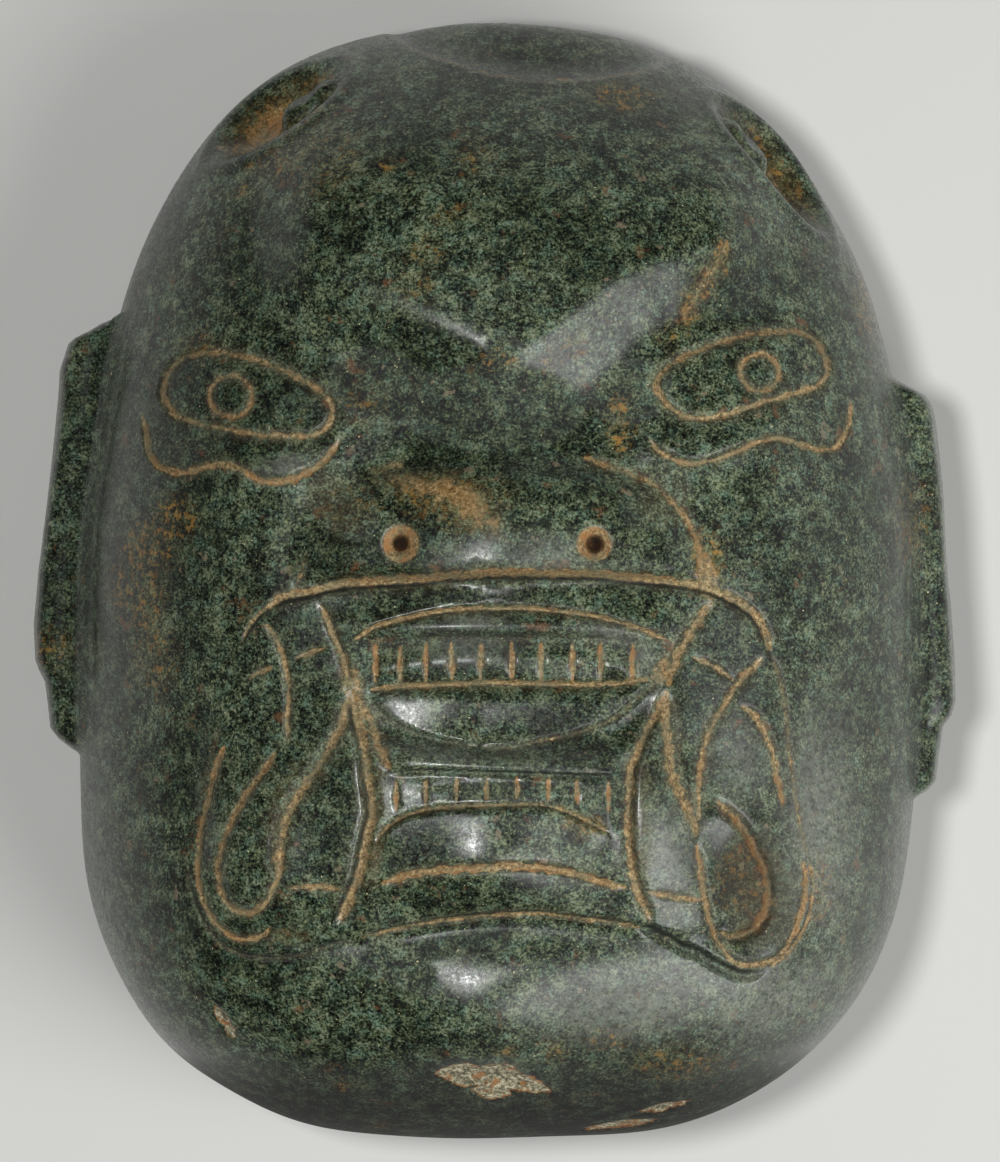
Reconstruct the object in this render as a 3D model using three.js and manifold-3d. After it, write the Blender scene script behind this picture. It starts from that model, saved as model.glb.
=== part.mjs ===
import * as THREE from 'three';
import { mergeVertices } from 'three/addons/utils/BufferGeometryUtils.js';
import Module from 'manifold-3d';

const wasm = await Module();
wasm.setup();

// A carved greenstone mask, in millimetres. It lies on its back: X runs to the viewer's right,
// Y to the crown and Z out of the face. The flat back rim is at Z = 0.

// Outline of the head, as four superellipse quarters round the point (0, FOCUS_Y)
const CROWN_Y = 100;
const CHIN_Y = -100;
const FOCUS_Y = -25;
const LEFT_SIDE = { lowHalf: 75, highHalf: 74.7, lowSquare: 2.8, highSquare: 2.65 };
const RIGHT_SIDE = { lowHalf: 75.5, highHalf: 77.5, lowSquare: 2.75, highSquare: 2.5 };

// Profile from front to back
const WIDEST_Z = 26;
const DOME_RISE = 66;
const DOME_SQUARE = 2.3;
const CHIN_SQUARE = 3.4;
const WALL_SQUARE = 2.4;
const RIM_OUTER = 0.94;
const RIM_INNER = 0.7;
const HOLLOW_RISE = 42;

// Mesh steps: the rings of the front close in on a pole at the nose, so that the face gets even facets
const AROUND = 48;
const DOME_RINGS = 21;
const RING_SPREAD = 1.1;
const WALL_RINGS = 4;
const HOLLOW_RINGS = 4;
const POLE_RISE = 32;

// Tool marks
const LINE_DEPTH = 1.2;
const DEEP_LINE_DEPTH = 1.9;
const TOOTH_CUT_DEPTH = 1.0;
const LINE_SPREAD = 0.75;
const LINE_LIFT = 0.8;
const LINE_STEP = 7;

// Side plates that stand for the ears
const PLATE_BACK_Z = 10;
const PLATE_FRONT_Z = 42;
const PLATE_ROUND = 2.5;

function smoothstep(from, to, value) {
  const t = Math.min(Math.max((value - from) / (to - from), 0), 1);
  return t * t * (3 - 2 * t);
}

// Distance from the focus to the outline in the direction of an angle
function outlineRadius(angle) {
  const across = Math.cos(angle);
  const along = Math.sin(angle);
  const side = across < 0 ? LEFT_SIDE : RIGHT_SIDE;
  const upper = smoothstep(-0.35, 0.35, along);
  const half = side.lowHalf + (side.highHalf - side.lowHalf) * upper;
  const reach = along < 0 ? FOCUS_Y - CHIN_Y : CROWN_Y - FOCUS_Y;
  const square = along < 0 ? side.lowSquare : side.highSquare;
  const sum = Math.abs(across / half) ** square + Math.abs(along / reach) ** square;
  return sum ** (-1 / square);
}

// Height of the plain head over a point of the front: fuller and squarer towards the chin
function domeHeight(x, y) {
  const angle = Math.atan2(y - FOCUS_Y, x);
  const share = Math.min(Math.hypot(x, y - FOCUS_Y) / outlineRadius(angle), 1);
  const square = DOME_SQUARE + (CHIN_SQUARE - DOME_SQUARE) * smoothstep(0.1, 0.9, -Math.sin(angle));
  return WIDEST_Z + DOME_RISE * (1 - share ** square) ** (1 / square);
}

// A soft round swelling, 1 in its middle, turned by an angle in degrees
function swelling(x, y, centre, radii, turn = 0) {
  const angle = THREE.MathUtils.degToRad(turn);
  const dx = x - centre[0];
  const dy = y - centre[1];
  const u = (dx * Math.cos(angle) + dy * Math.sin(angle)) / radii[0];
  const v = (dy * Math.cos(angle) - dx * Math.sin(angle)) / radii[1];
  return Math.exp(-(u * u + v * v));
}

// A plateau with a rounded-square plan: 1 inside and 0 beyond its soft edge
function plateau(x, y, centre, radii, square, edge) {
  const u = Math.abs((x - centre[0]) / radii[0]) ** square;
  const v = Math.abs((y - centre[1]) / radii[1]) ** square;
  return 1 - smoothstep(1 - edge, 1 + edge, (u + v) ** (1 / square));
}

// How far a point lies from a run of straight stretches
function distanceTo(points, x, y) {
  let nearest = Infinity;
  for (let i = 1; i < points.length; i += 1) {
    const [ax, ay] = points[i - 1];
    const dx = points[i][0] - ax;
    const dy = points[i][1] - ay;
    const t = Math.min(Math.max(((x - ax) * dx + (y - ay) * dy) / (dx * dx + dy * dy), 0), 1);
    nearest = Math.min(nearest, Math.hypot(x - ax - t * dx, y - ay - t * dy));
  }
  return nearest;
}

// Height at x of a run of points that goes steadily to the right
function heightAlong(points, x) {
  const [first, last] = [points[0], points[points.length - 1]];
  if (x <= first[0]) return first[1];
  if (x >= last[0]) return last[1];
  const i = points.findIndex((point) => point[0] > x);
  const [ax, ay] = points[i - 1];
  return ay + ((points[i][1] - ay) * (x - ax)) / (points[i][0] - ax);
}

// Brow: the forehead ends in a V of two sloping facets that stand over the eyes
const FOREHEAD = { centre: [2, 66], radii: [32, 24], rise: 2.2 };
const BROW_EDGE = [
  [-36, 55], [-28, 52.5], [-18, 48.5], [-9, 44.5], [-2, 41.2], [3.6, 40.2], [9.7, 43.5], [18.5, 51.3],
  [27, 55.8], [36, 58.3], [46, 60],
];
const BROW_RISE = 6;
const BROW_FLANK = 12.5;

function browRelief(x, y) {
  const distance = distanceTo(BROW_EDGE, x, y);
  const down = (y > heightAlong(BROW_EDGE, x) ? -distance : distance) / BROW_FLANK;
  const slope = (1 - Math.min(Math.max(down, 0), 1)) ** 1.35;
  const ends = smoothstep(-44, -30, x) * (1 - smoothstep(38, 54, x)) * (1 - smoothstep(66, 96, y));
  const forehead = FOREHEAD.rise * swelling(x, y, FOREHEAD.centre, FOREHEAD.radii);
  return forehead + BROW_RISE * slope * ends;
}

// Nose: a bridge between two sockets that widens into a broad lobe, with a soft valley round each wing
const NOSE_TIP = { centre: [-1, 5.5], radii: [19, 15], rise: 4.4 };
const NOSE_LOBE = { centre: [1.2, -1], radii: [33, 21], square: 2.6, edge: 0.17, rise: 3 };
const NOSE_SWELLINGS = [
  { centre: [2, 28], radii: [8, 14], turn: 0, rise: 1.4 },
  { centre: [-15, 27], radii: [11, 10], turn: -20, rise: -1.6 },
  { centre: [20, 28], radii: [11, 10], turn: 20, rise: -2 },
];
const WING_VALLEYS = [
  { points: [[-13, 20.5], [-20, 18.6], [-26, 14.8], [-30.5, 9.5], [-33, 3], [-34, -2]], width: 5, depth: 0.8 },
  { points: [[13, 21.5], [20, 19.8], [27, 16.5], [32, 12], [34.8, 6.5], [36.4, 0]], width: 4.4, depth: 0.9 },
];

function noseRelief(x, y) {
  const { centre, radii, square, edge, rise } = NOSE_LOBE;
  const underside = smoothstep(-0.8, 4.2, y);
  const lobe = rise * plateau(x, y, centre, radii, square, edge);
  const tip = NOSE_TIP.rise * swelling(x, y, NOSE_TIP.centre, NOSE_TIP.radii);
  let z = (lobe + tip) * underside + swellingsRelief(x, y, NOSE_SWELLINGS);
  for (const { points, width, depth } of WING_VALLEYS) {
    z -= depth * Math.exp(-((distanceTo(points, x, y) / width) ** 2));
  }
  return z;
}

// Cheeks, eyeballs and the puffed rolls under the eyes
const CHEEK_SWELLINGS = [
  { centre: [-50, 4], radii: [20, 22], turn: 0, rise: 2.5 },
  { centre: [53, 4], radii: [20, 22], turn: 0, rise: 2.5 },
  { centre: [-42, 21], radii: [9, 4], turn: -6, rise: 2.2 },
  { centre: [41, 25], radii: [13, 4], turn: 12, rise: 1.8 },
  { centre: [-44, 33], radii: [14, 6.5], turn: -14, rise: 1.6 },
  { centre: [44, 36], radii: [14, 6.5], turn: 14, rise: 1.6 },
];

// Mouth: a raised plaque with lips, fangs at its corners and a full lower lip
const PLAQUE = { centre: [2, -32], radii: [53, 34], square: 3.2, rise: 1.6 };
const TONGUE = { centre: [2, -22], radii: [26, 9], square: 2.2, depth: 2.4 };
const UPPER_TEETH = { centre: [2, -14.6], radii: [26, 5], square: 4, depth: 1.4 };
const LOWER_LIP = { centre: [-3, -47], radii: [14, 9], rise: 2.6 };
const MOUTH_SWELLINGS = [
  { centre: [-43, -47], radii: [6, 13], turn: -14, rise: 2 },
  { centre: [27.5, -38], radii: [5, 18], turn: 4, rise: 2.2 },
  { centre: [-1, -38], radii: [24, 46], turn: 0, rise: 1.6 },
  { centre: [-1, -7.9], radii: [20, 1.9], turn: 0, rise: 1.2 },
  { centre: [-3, -14], radii: [15, 4.5], turn: 0, rise: 1 },
  { centre: [-7, -31.3], radii: [15, 3.2], turn: 0, rise: 1.3 },
  { centre: [43, -54], radii: [6, 9], turn: 10, rise: -3.2 },
];

// Chin: a hollow under the plaque, then a full chin
const CHIN_SWELLINGS = [
  { centre: [2, -62], radii: [32, 5], turn: 0, rise: -2 },
  { centre: [-2, -80], radii: [23, 11], turn: 0, rise: 4.8 },
  { centre: [12, -68], radii: [16.5, 7], turn: 0, rise: 1.2 },
];

function swellingsRelief(x, y, list) {
  let z = 0;
  for (const part of list) {
    z += part.rise * swelling(x, y, part.centre, part.radii, part.turn);
  }
  return z;
}

function mouthRelief(x, y) {
  const { centre, radii, square, rise } = PLAQUE;
  const lowerShare = smoothstep(-5, -45, y);
  const tonguePlan = plateau(x, y, TONGUE.centre, TONGUE.radii, TONGUE.square, 0.16);
  const teethPlan = plateau(x, y, UPPER_TEETH.centre, UPPER_TEETH.radii, UPPER_TEETH.square, 0.2);
  return (
    rise * lowerShare * plateau(x, y, centre, radii, square, 0.05) -
    TONGUE.depth * tonguePlan * smoothstep(-13, -20, y) -
    UPPER_TEETH.depth * teethPlan +
    LOWER_LIP.rise * swelling(x, y, LOWER_LIP.centre, LOWER_LIP.radii) +
    swellingsRelief(x, y, MOUTH_SWELLINGS)
  );
}

// Height of the carved front over a point
function frontHeight(x, y) {
  return (
    domeHeight(x, y) +
    browRelief(x, y) +
    noseRelief(x, y) +
    mouthRelief(x, y) +
    swellingsRelief(x, y, CHEEK_SWELLINGS) +
    swellingsRelief(x, y, CHIN_SWELLINGS)
  );
}

// Crown cleft: a steep step down behind the lip where the forehead ends, and the hump behind it
const CLEFT = {
  middleX: 10, lipY: 89.3, leftSag: 0.0099, rightSag: 0.0063, undercut: 0.6, depth: 9, floor: 5, reach: 28,
};

// How far the cleft sinks towards the focus, by the point's place on the plain head
function cleftSink(x, y, z) {
  const sag = x < CLEFT.middleX ? CLEFT.leftSag : CLEFT.rightSag;
  const lipY = Math.min(CLEFT.lipY + sag * (x - CLEFT.middleX) ** 2, CROWN_Y - 0.5);
  const behind = domeHeight(x, lipY) - z;
  const ends = smoothstep(-21, -13, x) * (1 - smoothstep(25, 34, x));
  if (y < FOCUS_Y || behind <= 0) return 0;
  const past = Math.min(Math.max(y - lipY + CLEFT.undercut, 0), CLEFT.depth);
  return past * ends * (1 - smoothstep(CLEFT.floor, CLEFT.reach, behind));
}

// Profile of the whole head: share of the outline radius, and height, from front pole to back pole
function headProfile() {
  const points = [];
  const quarter = Math.PI / 2;
  for (let i = 0; i <= DOME_RINGS; i += 1) {
    const share = Math.sin((quarter * i) / DOME_RINGS) ** RING_SPREAD;
    points.push([share, WIDEST_Z + DOME_RISE * (1 - share ** DOME_SQUARE) ** (1 / DOME_SQUARE)]);
  }
  for (let i = 1; i <= WALL_RINGS; i += 1) {
    const turn = (quarter * i) / WALL_RINGS;
    const power = 2 / WALL_SQUARE;
    const share = RIM_OUTER + (1 - RIM_OUTER) * Math.cos(turn) ** power;
    points.push([share, WIDEST_Z * (1 - Math.sin(turn) ** power)]);
  }
  for (let i = 0; i <= HOLLOW_RINGS; i += 1) {
    const turn = (quarter * i) / HOLLOW_RINGS;
    const power = 2 / WALL_SQUARE;
    points.push([RIM_INNER * Math.cos(turn) ** power, HOLLOW_RISE * Math.sin(turn) ** power]);
  }
  points[0][0] = 0;
  points[DOME_RINGS][1] = WIDEST_Z;
  points[DOME_RINGS + WALL_RINGS] = [RIM_OUTER, 0];
  points[points.length - 1][0] = 0;
  return points.reverse();
}

// A closed geometry as a solid for cuts and joins
function solidOf(geometry) {
  const plain = geometry.clone();
  plain.deleteAttribute('normal');
  plain.deleteAttribute('uv');
  const merged = mergeVertices(plain, 1e-3);
  const vertProperties = new Float32Array(merged.attributes.position.array);
  const triVerts = new Uint32Array(merged.index.array);
  return new wasm.Manifold(new wasm.Mesh({ numProp: 3, vertProperties, triVerts }));
}

function geometryOf(solid) {
  const mesh = solid.getMesh();
  const geometry = new THREE.BufferGeometry();
  geometry.setAttribute('position', new THREE.BufferAttribute(mesh.vertProperties, 3));
  geometry.setIndex(new THREE.BufferAttribute(mesh.triVerts, 1));
  geometry.computeVertexNormals();
  return geometry;
}

// Height that tells a point of the front from one of the hollow behind it
function frontLimit(share) {
  return share < RIM_INNER ? HOLLOW_RISE + 1 : WIDEST_Z;
}

// The head: a turned profile of unit radius, stretched to the outline and carved into the face
function headSolid() {
  const profile = headProfile().map(([share, z]) => new THREE.Vector2(share, z));
  const geometry = new THREE.LatheGeometry(profile, AROUND);
  geometry.rotateX(Math.PI / 2);
  const places = geometry.attributes.position;
  for (let i = 0; i < places.count; i += 1) {
    const share = Math.hypot(places.getX(i), places.getY(i));
    const angle = Math.atan2(places.getY(i), places.getX(i));
    const z = places.getZ(i);
    const radius = share * outlineRadius(angle);
    const x = radius * Math.cos(angle);
    const y = FOCUS_Y + radius * Math.sin(angle);
    const onFront = z > frontLimit(share) && share < 1;
    const slide = onFront ? POLE_RISE * (1 - share ** 2) : 0;
    const sink = onFront ? cleftSink(x, y, z) : 0;
    places.setXYZ(i, x, y + slide - sink, onFront ? frontHeight(x, y + slide) : z);
  }
  return solidOf(geometry);
}

// A side plate: a flat tab with rounded edges and a small step at its lower end
const LEFT_PLATE = [
  [-60, 46], [-68, 45.5], [-73.7, 43], [-76.4, 37.8], [-80, 18], [-82.3, 1.8], [-82.8, -8],
  [-82.4, -14.4], [-80.7, -18], [-80, -26.6], [-76, -30.5], [-60, -31],
];
const RIGHT_PLATE = [
  [60, 36], [73, 35.4], [77, 33.5], [79.3, 28.8], [81.1, 14.4], [82, 3.6], [82.8, -12.6],
  [82.8, -21.6], [80.5, -27], [79.6, -36], [76, -39], [60, -39],
];

function plateSolid(outline) {
  const middle = outline[0][0] < 0 ? 1 : -1;
  const inset = outline.map(([x, y]) => new THREE.Vector2(x + middle * PLATE_ROUND, y));
  const geometry = new THREE.ExtrudeGeometry(new THREE.Shape(inset), {
    depth: PLATE_FRONT_Z - PLATE_BACK_Z - 2 * PLATE_ROUND,
    bevelThickness: PLATE_ROUND,
    bevelSize: PLATE_ROUND,
    bevelSegments: 2,
  });
  geometry.translate(0, 0, PLATE_BACK_Z + PLATE_ROUND);
  return solidOf(geometry);
}

// Outward direction of the carved front at a point
function frontNormal(x, y) {
  const step = 0.5;
  const slopeX = (frontHeight(x + step, y) - frontHeight(x - step, y)) / (2 * step);
  const slopeY = (frontHeight(x, y + step) - frontHeight(x, y - step)) / (2 * step);
  return new THREE.Vector3(-slopeX, -slopeY, 1).normalize();
}

// Moves a geometry modelled round the Z axis onto the front, facing out of it
function seat(geometry, x, y) {
  const turn = new THREE.Quaternion().setFromUnitVectors(new THREE.Vector3(0, 0, 1), frontNormal(x, y));
  return geometry.applyQuaternion(turn).translate(x, y, frontHeight(x, y));
}

// An incised line through points of the front: a wedge drawn flat, then draped over the carved front
function lineSolid(points, depth = LINE_DEPTH) {
  const extrudePath = new THREE.CatmullRomCurve3(points.map(([x, y]) => new THREE.Vector3(x, y, 0)));
  const steps = Math.max(1, Math.round(extrudePath.getLength() / LINE_STEP));
  const half = LINE_SPREAD * (depth + LINE_LIFT);
  const section = new THREE.Shape();
  section.moveTo(depth, 0);
  section.lineTo(-LINE_LIFT, half);
  section.lineTo(-LINE_LIFT, -half);
  const geometry = new THREE.ExtrudeGeometry(section, { steps, extrudePath });
  const places = geometry.attributes.position;
  for (let i = 0; i < places.count; i += 1) {
    places.setZ(i, places.getZ(i) + frontHeight(places.getX(i), places.getY(i)));
  }
  return solidOf(geometry);
}

// Eyes: a leaf of two arcs, a ring for the iris and a waved line below
const IRIS = { radius: 3.6, tube: 0.8, places: [[-46.3, 32.3], [46.7, 36.5]] };
const EYE_LINES = [
  [[-59, 33], [-55.5, 39.2], [-47.5, 40.1], [-37.5, 37.1], [-29.9, 32.7], [-28.7, 28.1]],
  [[-28.7, 28.1], [-33.1, 25.1], [-44.1, 25.8], [-53.7, 28], [-59, 33]],
  [[28.4, 34.1], [31, 37.9], [38.9, 41.6], [47.7, 43.8], [55.1, 43.6], [58.7, 38.6]],
  [[58.7, 38.6], [56.1, 33.7], [47, 31], [38.2, 28.4], [31.5, 29.7], [28.4, 34.1]],
  [[-62.6, 29.7], [-59, 20.2], [-54.6, 19], [-47.6, 20.2], [-37.7, 17.3], [-31.9, 19.5], [-27.2, 24.9]],
  [[26.8, 25.2], [31, 21.5], [37.2, 20.8], [50.3, 24.8], [56.9, 23.2], [62, 25.5], [63.1, 32]],
];

// Mouth lines: lips, tongue, tooth edges, the bands at the corners, and the fangs
const MOUTH_LINES = [
  [[-38.7, -4.2], [-34, -1.5], [-25.8, -0.9], [-5.7, 0.6], [9.4, 0.9], [24.4, 0.1], [44, -4.9], [50.9, -21.1]],
  [[-24.8, -10.9], [-20.8, -8.3], [-1.3, -5.2], [11.5, -5.4], [24.5, -8.3], [30.4, -10.5]],
  [[-22.2, -19.5], [-18.6, -24.1], [-11.3, -27.5], [1, -29.2], [15, -27.3], [24.6, -21.5], [27.6, -18]],
  [[-18.6, -33.8], [2.4, -33.6], [22, -34.4]],
  [[-21, -46.7], [-16.7, -41.9], [-9.4, -39.9], [9.8, -39.7], [15.8, -42], [20.5, -44.5]],
  [[-36.2, -53.8], [-26.3, -54], [-20.1, -53.1], [-7.8, -50.3], [9.7, -50.4], [23.5, -53.8], [37, -56.1]],
  [[-31, -3.8], [-25.9, -14.8], [-23.5, -27.2], [-21.8, -40.6], [-25.7, -56.2], [-27.9, -62]],
  [[38.6, -3.3], [31.9, -13.8], [28.6, -23.7], [24.6, -33], [23.5, -40.6], [25.2, -53.8], [27.7, -60.3]],
  [[-24.9, -19.3], [-28, -27.8], [-35.2, -40], [-37.8, -53.6]],
  [[-40.5, -7.2], [-36.4, -16], [-36.3, -25], [-41.4, -34.3], [-47.4, -45.2], [-46.9, -56.3], [-41, -57], [-37.8, -49]],
  [[30.2, -18.9], [30.6, -30.7], [35.9, -48.2], [39.3, -62.9], [47, -67.5], [53, -60.3], [54, -49.7], [52, -43.6]],
  [[47.3, -13.2], [40, -22.7], [36, -34.2], [36.4, -43]],
  [[42.7, -21.9], [49.2, -30.5], [51.1, -40.2]],
  [[38.8, -38], [45.4, -46.1], [48.5, -54.6], [44.7, -62.4], [39.3, -61.5]],
  [[-47.4, -28.8], [-51.8, -48.3], [-50.4, -57.5], [-45.2, -62.9], [-39, -60.5]],
  [[15, 20.8], [27, 17.5], [35.1, 8.5], [36, 3.5], [37, -1]],
];
const DEEP_LINES = [
  [[-22.2, -19.3], [-1.3, -18], [13.5, -18.4], [27.6, -17.5]],
  [[-53.7, -50.2], [-51.1, -59.6], [-45.6, -65], [-36.5, -66.3], [-11.3, -60.2], [3, -58.8], [18.5, -60],
    [35.4, -66], [43.1, -70], [53.6, -62.5], [55.4, -54]],
];

// Teeth: rows of short upright cuts
const TOOTH_ROWS = [
  { from: -20.7, to: 24.2, count: 10, topY: -10.5, bottomY: -17 },
  { from: -17.1, to: 20, count: 8, topY: -34.3, bottomY: -38.2 },
];

function toothCuts() {
  const cuts = [];
  for (const row of TOOTH_ROWS) {
    for (let i = 0; i < row.count; i += 1) {
      const x = row.from + ((row.to - row.from) * i) / (row.count - 1);
      cuts.push(lineSolid([[x, row.topY], [x, row.bottomY]], TOOTH_CUT_DEPTH));
    }
  }
  return cuts;
}

// Nostrils: two drilled cups
const NOSTRILS = [[-16.4, 6.4], [17.5, 6.3]];

function nostrilCut([x, y]) {
  const profile = [[0, -4], [1.3, -3.4], [1.8, -1.8], [3.3, 0.2], [3.3, 2], [0, 2]];
  const geometry = new THREE.LatheGeometry(profile.map(([r, z]) => new THREE.Vector2(r, z)), 10);
  return solidOf(seat(geometry.rotateX(Math.PI / 2), x, y));
}

function irisCut([x, y]) {
  return solidOf(seat(new THREE.TorusGeometry(IRIS.radius, IRIS.tube, 4, 14), x, y));
}

// Hollowed ears at the crown: a scooped hollow with a small tongue left standing in it
const CROWN_EARS = [
  { place: [-36.5, 83.5], hollow: [14, 11, 7], tongue: [7, 3.6, 3.5], tongueShift: -5 },
  { place: [49.5, 75], hollow: [15, 11, 7], tongue: [7, 3.6, 3.5], tongueShift: 5 },
];
const HOLLOW_LIFT = 2;
const TONGUE_SINK = 4.5;
const TONGUE_RAISE = 2.5;

function earFrame([x, y]) {
  const normal = frontNormal(x, y);
  const along = new THREE.Vector3(-normal.y, normal.x, 0).normalize();
  const down = new THREE.Vector3().crossVectors(normal, along);
  const origin = new THREE.Vector3(x, y, frontHeight(x, y));
  return new THREE.Matrix4().makeBasis(along, down, normal).setPosition(origin);
}

function earShape(ear, size, shift, detail) {
  const geometry = new THREE.SphereGeometry(1, detail, detail / 2);
  geometry.scale(...size).translate(...shift);
  return solidOf(geometry.applyMatrix4(earFrame(ear.place)));
}

function crownEar(ear, head) {
  const hollowed = head.subtract(earShape(ear, ear.hollow, [0, 0, HOLLOW_LIFT], 16));
  return hollowed.add(earShape(ear, ear.tongue, [ear.tongueShift, TONGUE_RAISE, -TONGUE_SINK], 10));
}

function maskSolid() {
  let stone = headSolid();
  stone = stone.add(plateSolid(LEFT_PLATE)).add(plateSolid(RIGHT_PLATE));
  for (const ear of CROWN_EARS) {
    stone = crownEar(ear, stone);
  }
  const cuts = [
    ...EYE_LINES.map((points) => lineSolid(points)),
    ...MOUTH_LINES.map((points) => lineSolid(points)),
    ...DEEP_LINES.map((points) => lineSolid(points, DEEP_LINE_DEPTH)),
    ...toothCuts(),
    ...NOSTRILS.map(nostrilCut),
    ...IRIS.places.map(irisCut),
  ];
  for (const cut of cuts) {
    stone = stone.subtract(cut);
  }
  return stone;
}

const greenstone = new THREE.MeshStandardMaterial({ color: 0x33463b, roughness: 0.38, metalness: 0 });
const mask = new THREE.Mesh(geometryOf(maskSolid()), greenstone);
mask.name = 'stone_mask';

const group = new THREE.Group();
group.add(mask);

export default group;
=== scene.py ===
import math

import bpy
import numpy as np
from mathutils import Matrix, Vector


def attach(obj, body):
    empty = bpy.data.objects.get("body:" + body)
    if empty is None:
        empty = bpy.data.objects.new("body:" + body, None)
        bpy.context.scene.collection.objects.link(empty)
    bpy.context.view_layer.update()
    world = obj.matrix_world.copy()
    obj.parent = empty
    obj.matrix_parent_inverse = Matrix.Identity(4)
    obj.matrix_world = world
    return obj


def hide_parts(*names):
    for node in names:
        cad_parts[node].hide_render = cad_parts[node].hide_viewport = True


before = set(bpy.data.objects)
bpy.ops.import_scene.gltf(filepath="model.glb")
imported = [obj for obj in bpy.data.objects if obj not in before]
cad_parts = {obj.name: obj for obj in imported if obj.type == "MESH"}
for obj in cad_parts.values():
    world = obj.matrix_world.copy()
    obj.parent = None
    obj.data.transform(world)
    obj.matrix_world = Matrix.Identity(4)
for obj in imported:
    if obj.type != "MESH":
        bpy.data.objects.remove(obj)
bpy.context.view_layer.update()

# Sizes are in millimetres until a mesh is placed. X runs to the viewer's right, Y to the crown
# and Z out of the face of the mask, which lies on its back rim at Z = 0.
MM = 0.001
TINY = 1e-6

# Outline of the head, as four superellipse quarters round the point (0, FOCUS_Y). The half widths of
# the low and high quarters run into each other over OUTLINE_BLEND.
CROWN_Y = 100
CHIN_Y = -100
FOCUS_Y = -25
LEFT_SIDE = {"low_half": 75, "high_half": 74.7, "low_square": 2.8, "high_square": 2.65}
RIGHT_SIDE = {"low_half": 75.5, "high_half": 77.5, "low_square": 2.75, "high_square": 2.5}
OUTLINE_BLEND = 0.35

# Profile from front to back. The dome is squarer where a point lies CHINWARD of the focus.
WIDEST_Z = 26
DOME_RISE = 66
DOME_SQUARE = 2.3
CHIN_SQUARE = 3.4
CHINWARD = (0.1, 0.9)
WALL_SQUARE = 2.4
RIM_OUTER = 0.94
RIM_INNER = 0.7
HOLLOW_RISE = 42

# The blank: a grid over the front, then rings down the dome and the wall, across the rim and up the hollow
GRID_ACROSS = 84
GRID_ALONG = 104
SHOULDER = 0.9
DOME_RINGS = 22
WALL_RINGS = 17
RIM_RINGS = 4
HOLLOW_RINGS = 14
RIM_START = DOME_RINGS + WALL_RINGS
HOLLOW_START = RIM_START + RIM_RINGS
POLE_RISE = 20


def smoothstep(low, high, value):
    t = np.clip((value - low) / (high - low), 0, 1)
    return t * t * (3 - 2 * t)


def outline_radius(angle):
    """Distance from the focus to the outline of the head in the direction of an angle."""
    across, along = np.cos(angle), np.sin(angle)
    left, low = across < 0, along < 0
    upper = smoothstep(-OUTLINE_BLEND, OUTLINE_BLEND, along)

    def pick(name):
        return np.where(left, LEFT_SIDE[name], RIGHT_SIDE[name])

    half = pick("low_half") + (pick("high_half") - pick("low_half")) * upper
    reach = np.where(low, FOCUS_Y - CHIN_Y, CROWN_Y - FOCUS_Y)
    square = np.where(low, pick("low_square"), pick("high_square"))
    return (np.abs(across / half) ** square + np.abs(along / reach) ** square) ** (-1 / square)


def outline_share(x, y):
    """Where a point lies between the focus, 0, and the outline, 1."""
    return np.minimum(np.hypot(x, y - FOCUS_Y) / outline_radius(np.arctan2(y - FOCUS_Y, x)), 1)


def dome_height(x, y):
    """Height of the plain head over a point of the front: fuller and squarer towards the chin."""
    share = outline_share(x, y)
    chinward = smoothstep(*CHINWARD, (FOCUS_Y - y) / np.maximum(np.hypot(x, y - FOCUS_Y), TINY))
    square = DOME_SQUARE + (CHIN_SQUARE - DOME_SQUARE) * chinward
    return WIDEST_Z + DOME_RISE * (1 - share**square) ** (1 / square)


# Forms laid on the face
def turned(x, y, centre, radii, turn):
    """How far points lie from a centre along two turned axes, in radii."""
    angle = math.radians(turn)
    dx, dy = x - centre[0], y - centre[1]
    u = (dx * math.cos(angle) + dy * math.sin(angle)) / radii[0]
    v = (dy * math.cos(angle) - dx * math.sin(angle)) / radii[1]
    return u, v


def swelling(x, y, centre, radii, turn=0.0):
    """A soft round rise, 1 in its middle, turned by an angle in degrees."""
    u, v = turned(x, y, centre, radii, turn)
    return np.exp(-(u * u + v * v))


def plateau(x, y, centre, radii, square, edge):
    """1 inside a rounded square and 0 beyond its soft edge."""
    u = np.abs((x - centre[0]) / radii[0]) ** square
    v = np.abs((y - centre[1]) / radii[1]) ** square
    return 1 - smoothstep(1 - edge, 1 + edge, (u + v) ** (1 / square))


def on_plan(x, y, form):
    return plateau(x, y, form["centre"], form["radii"], form["square"], form["edge"])


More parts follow.
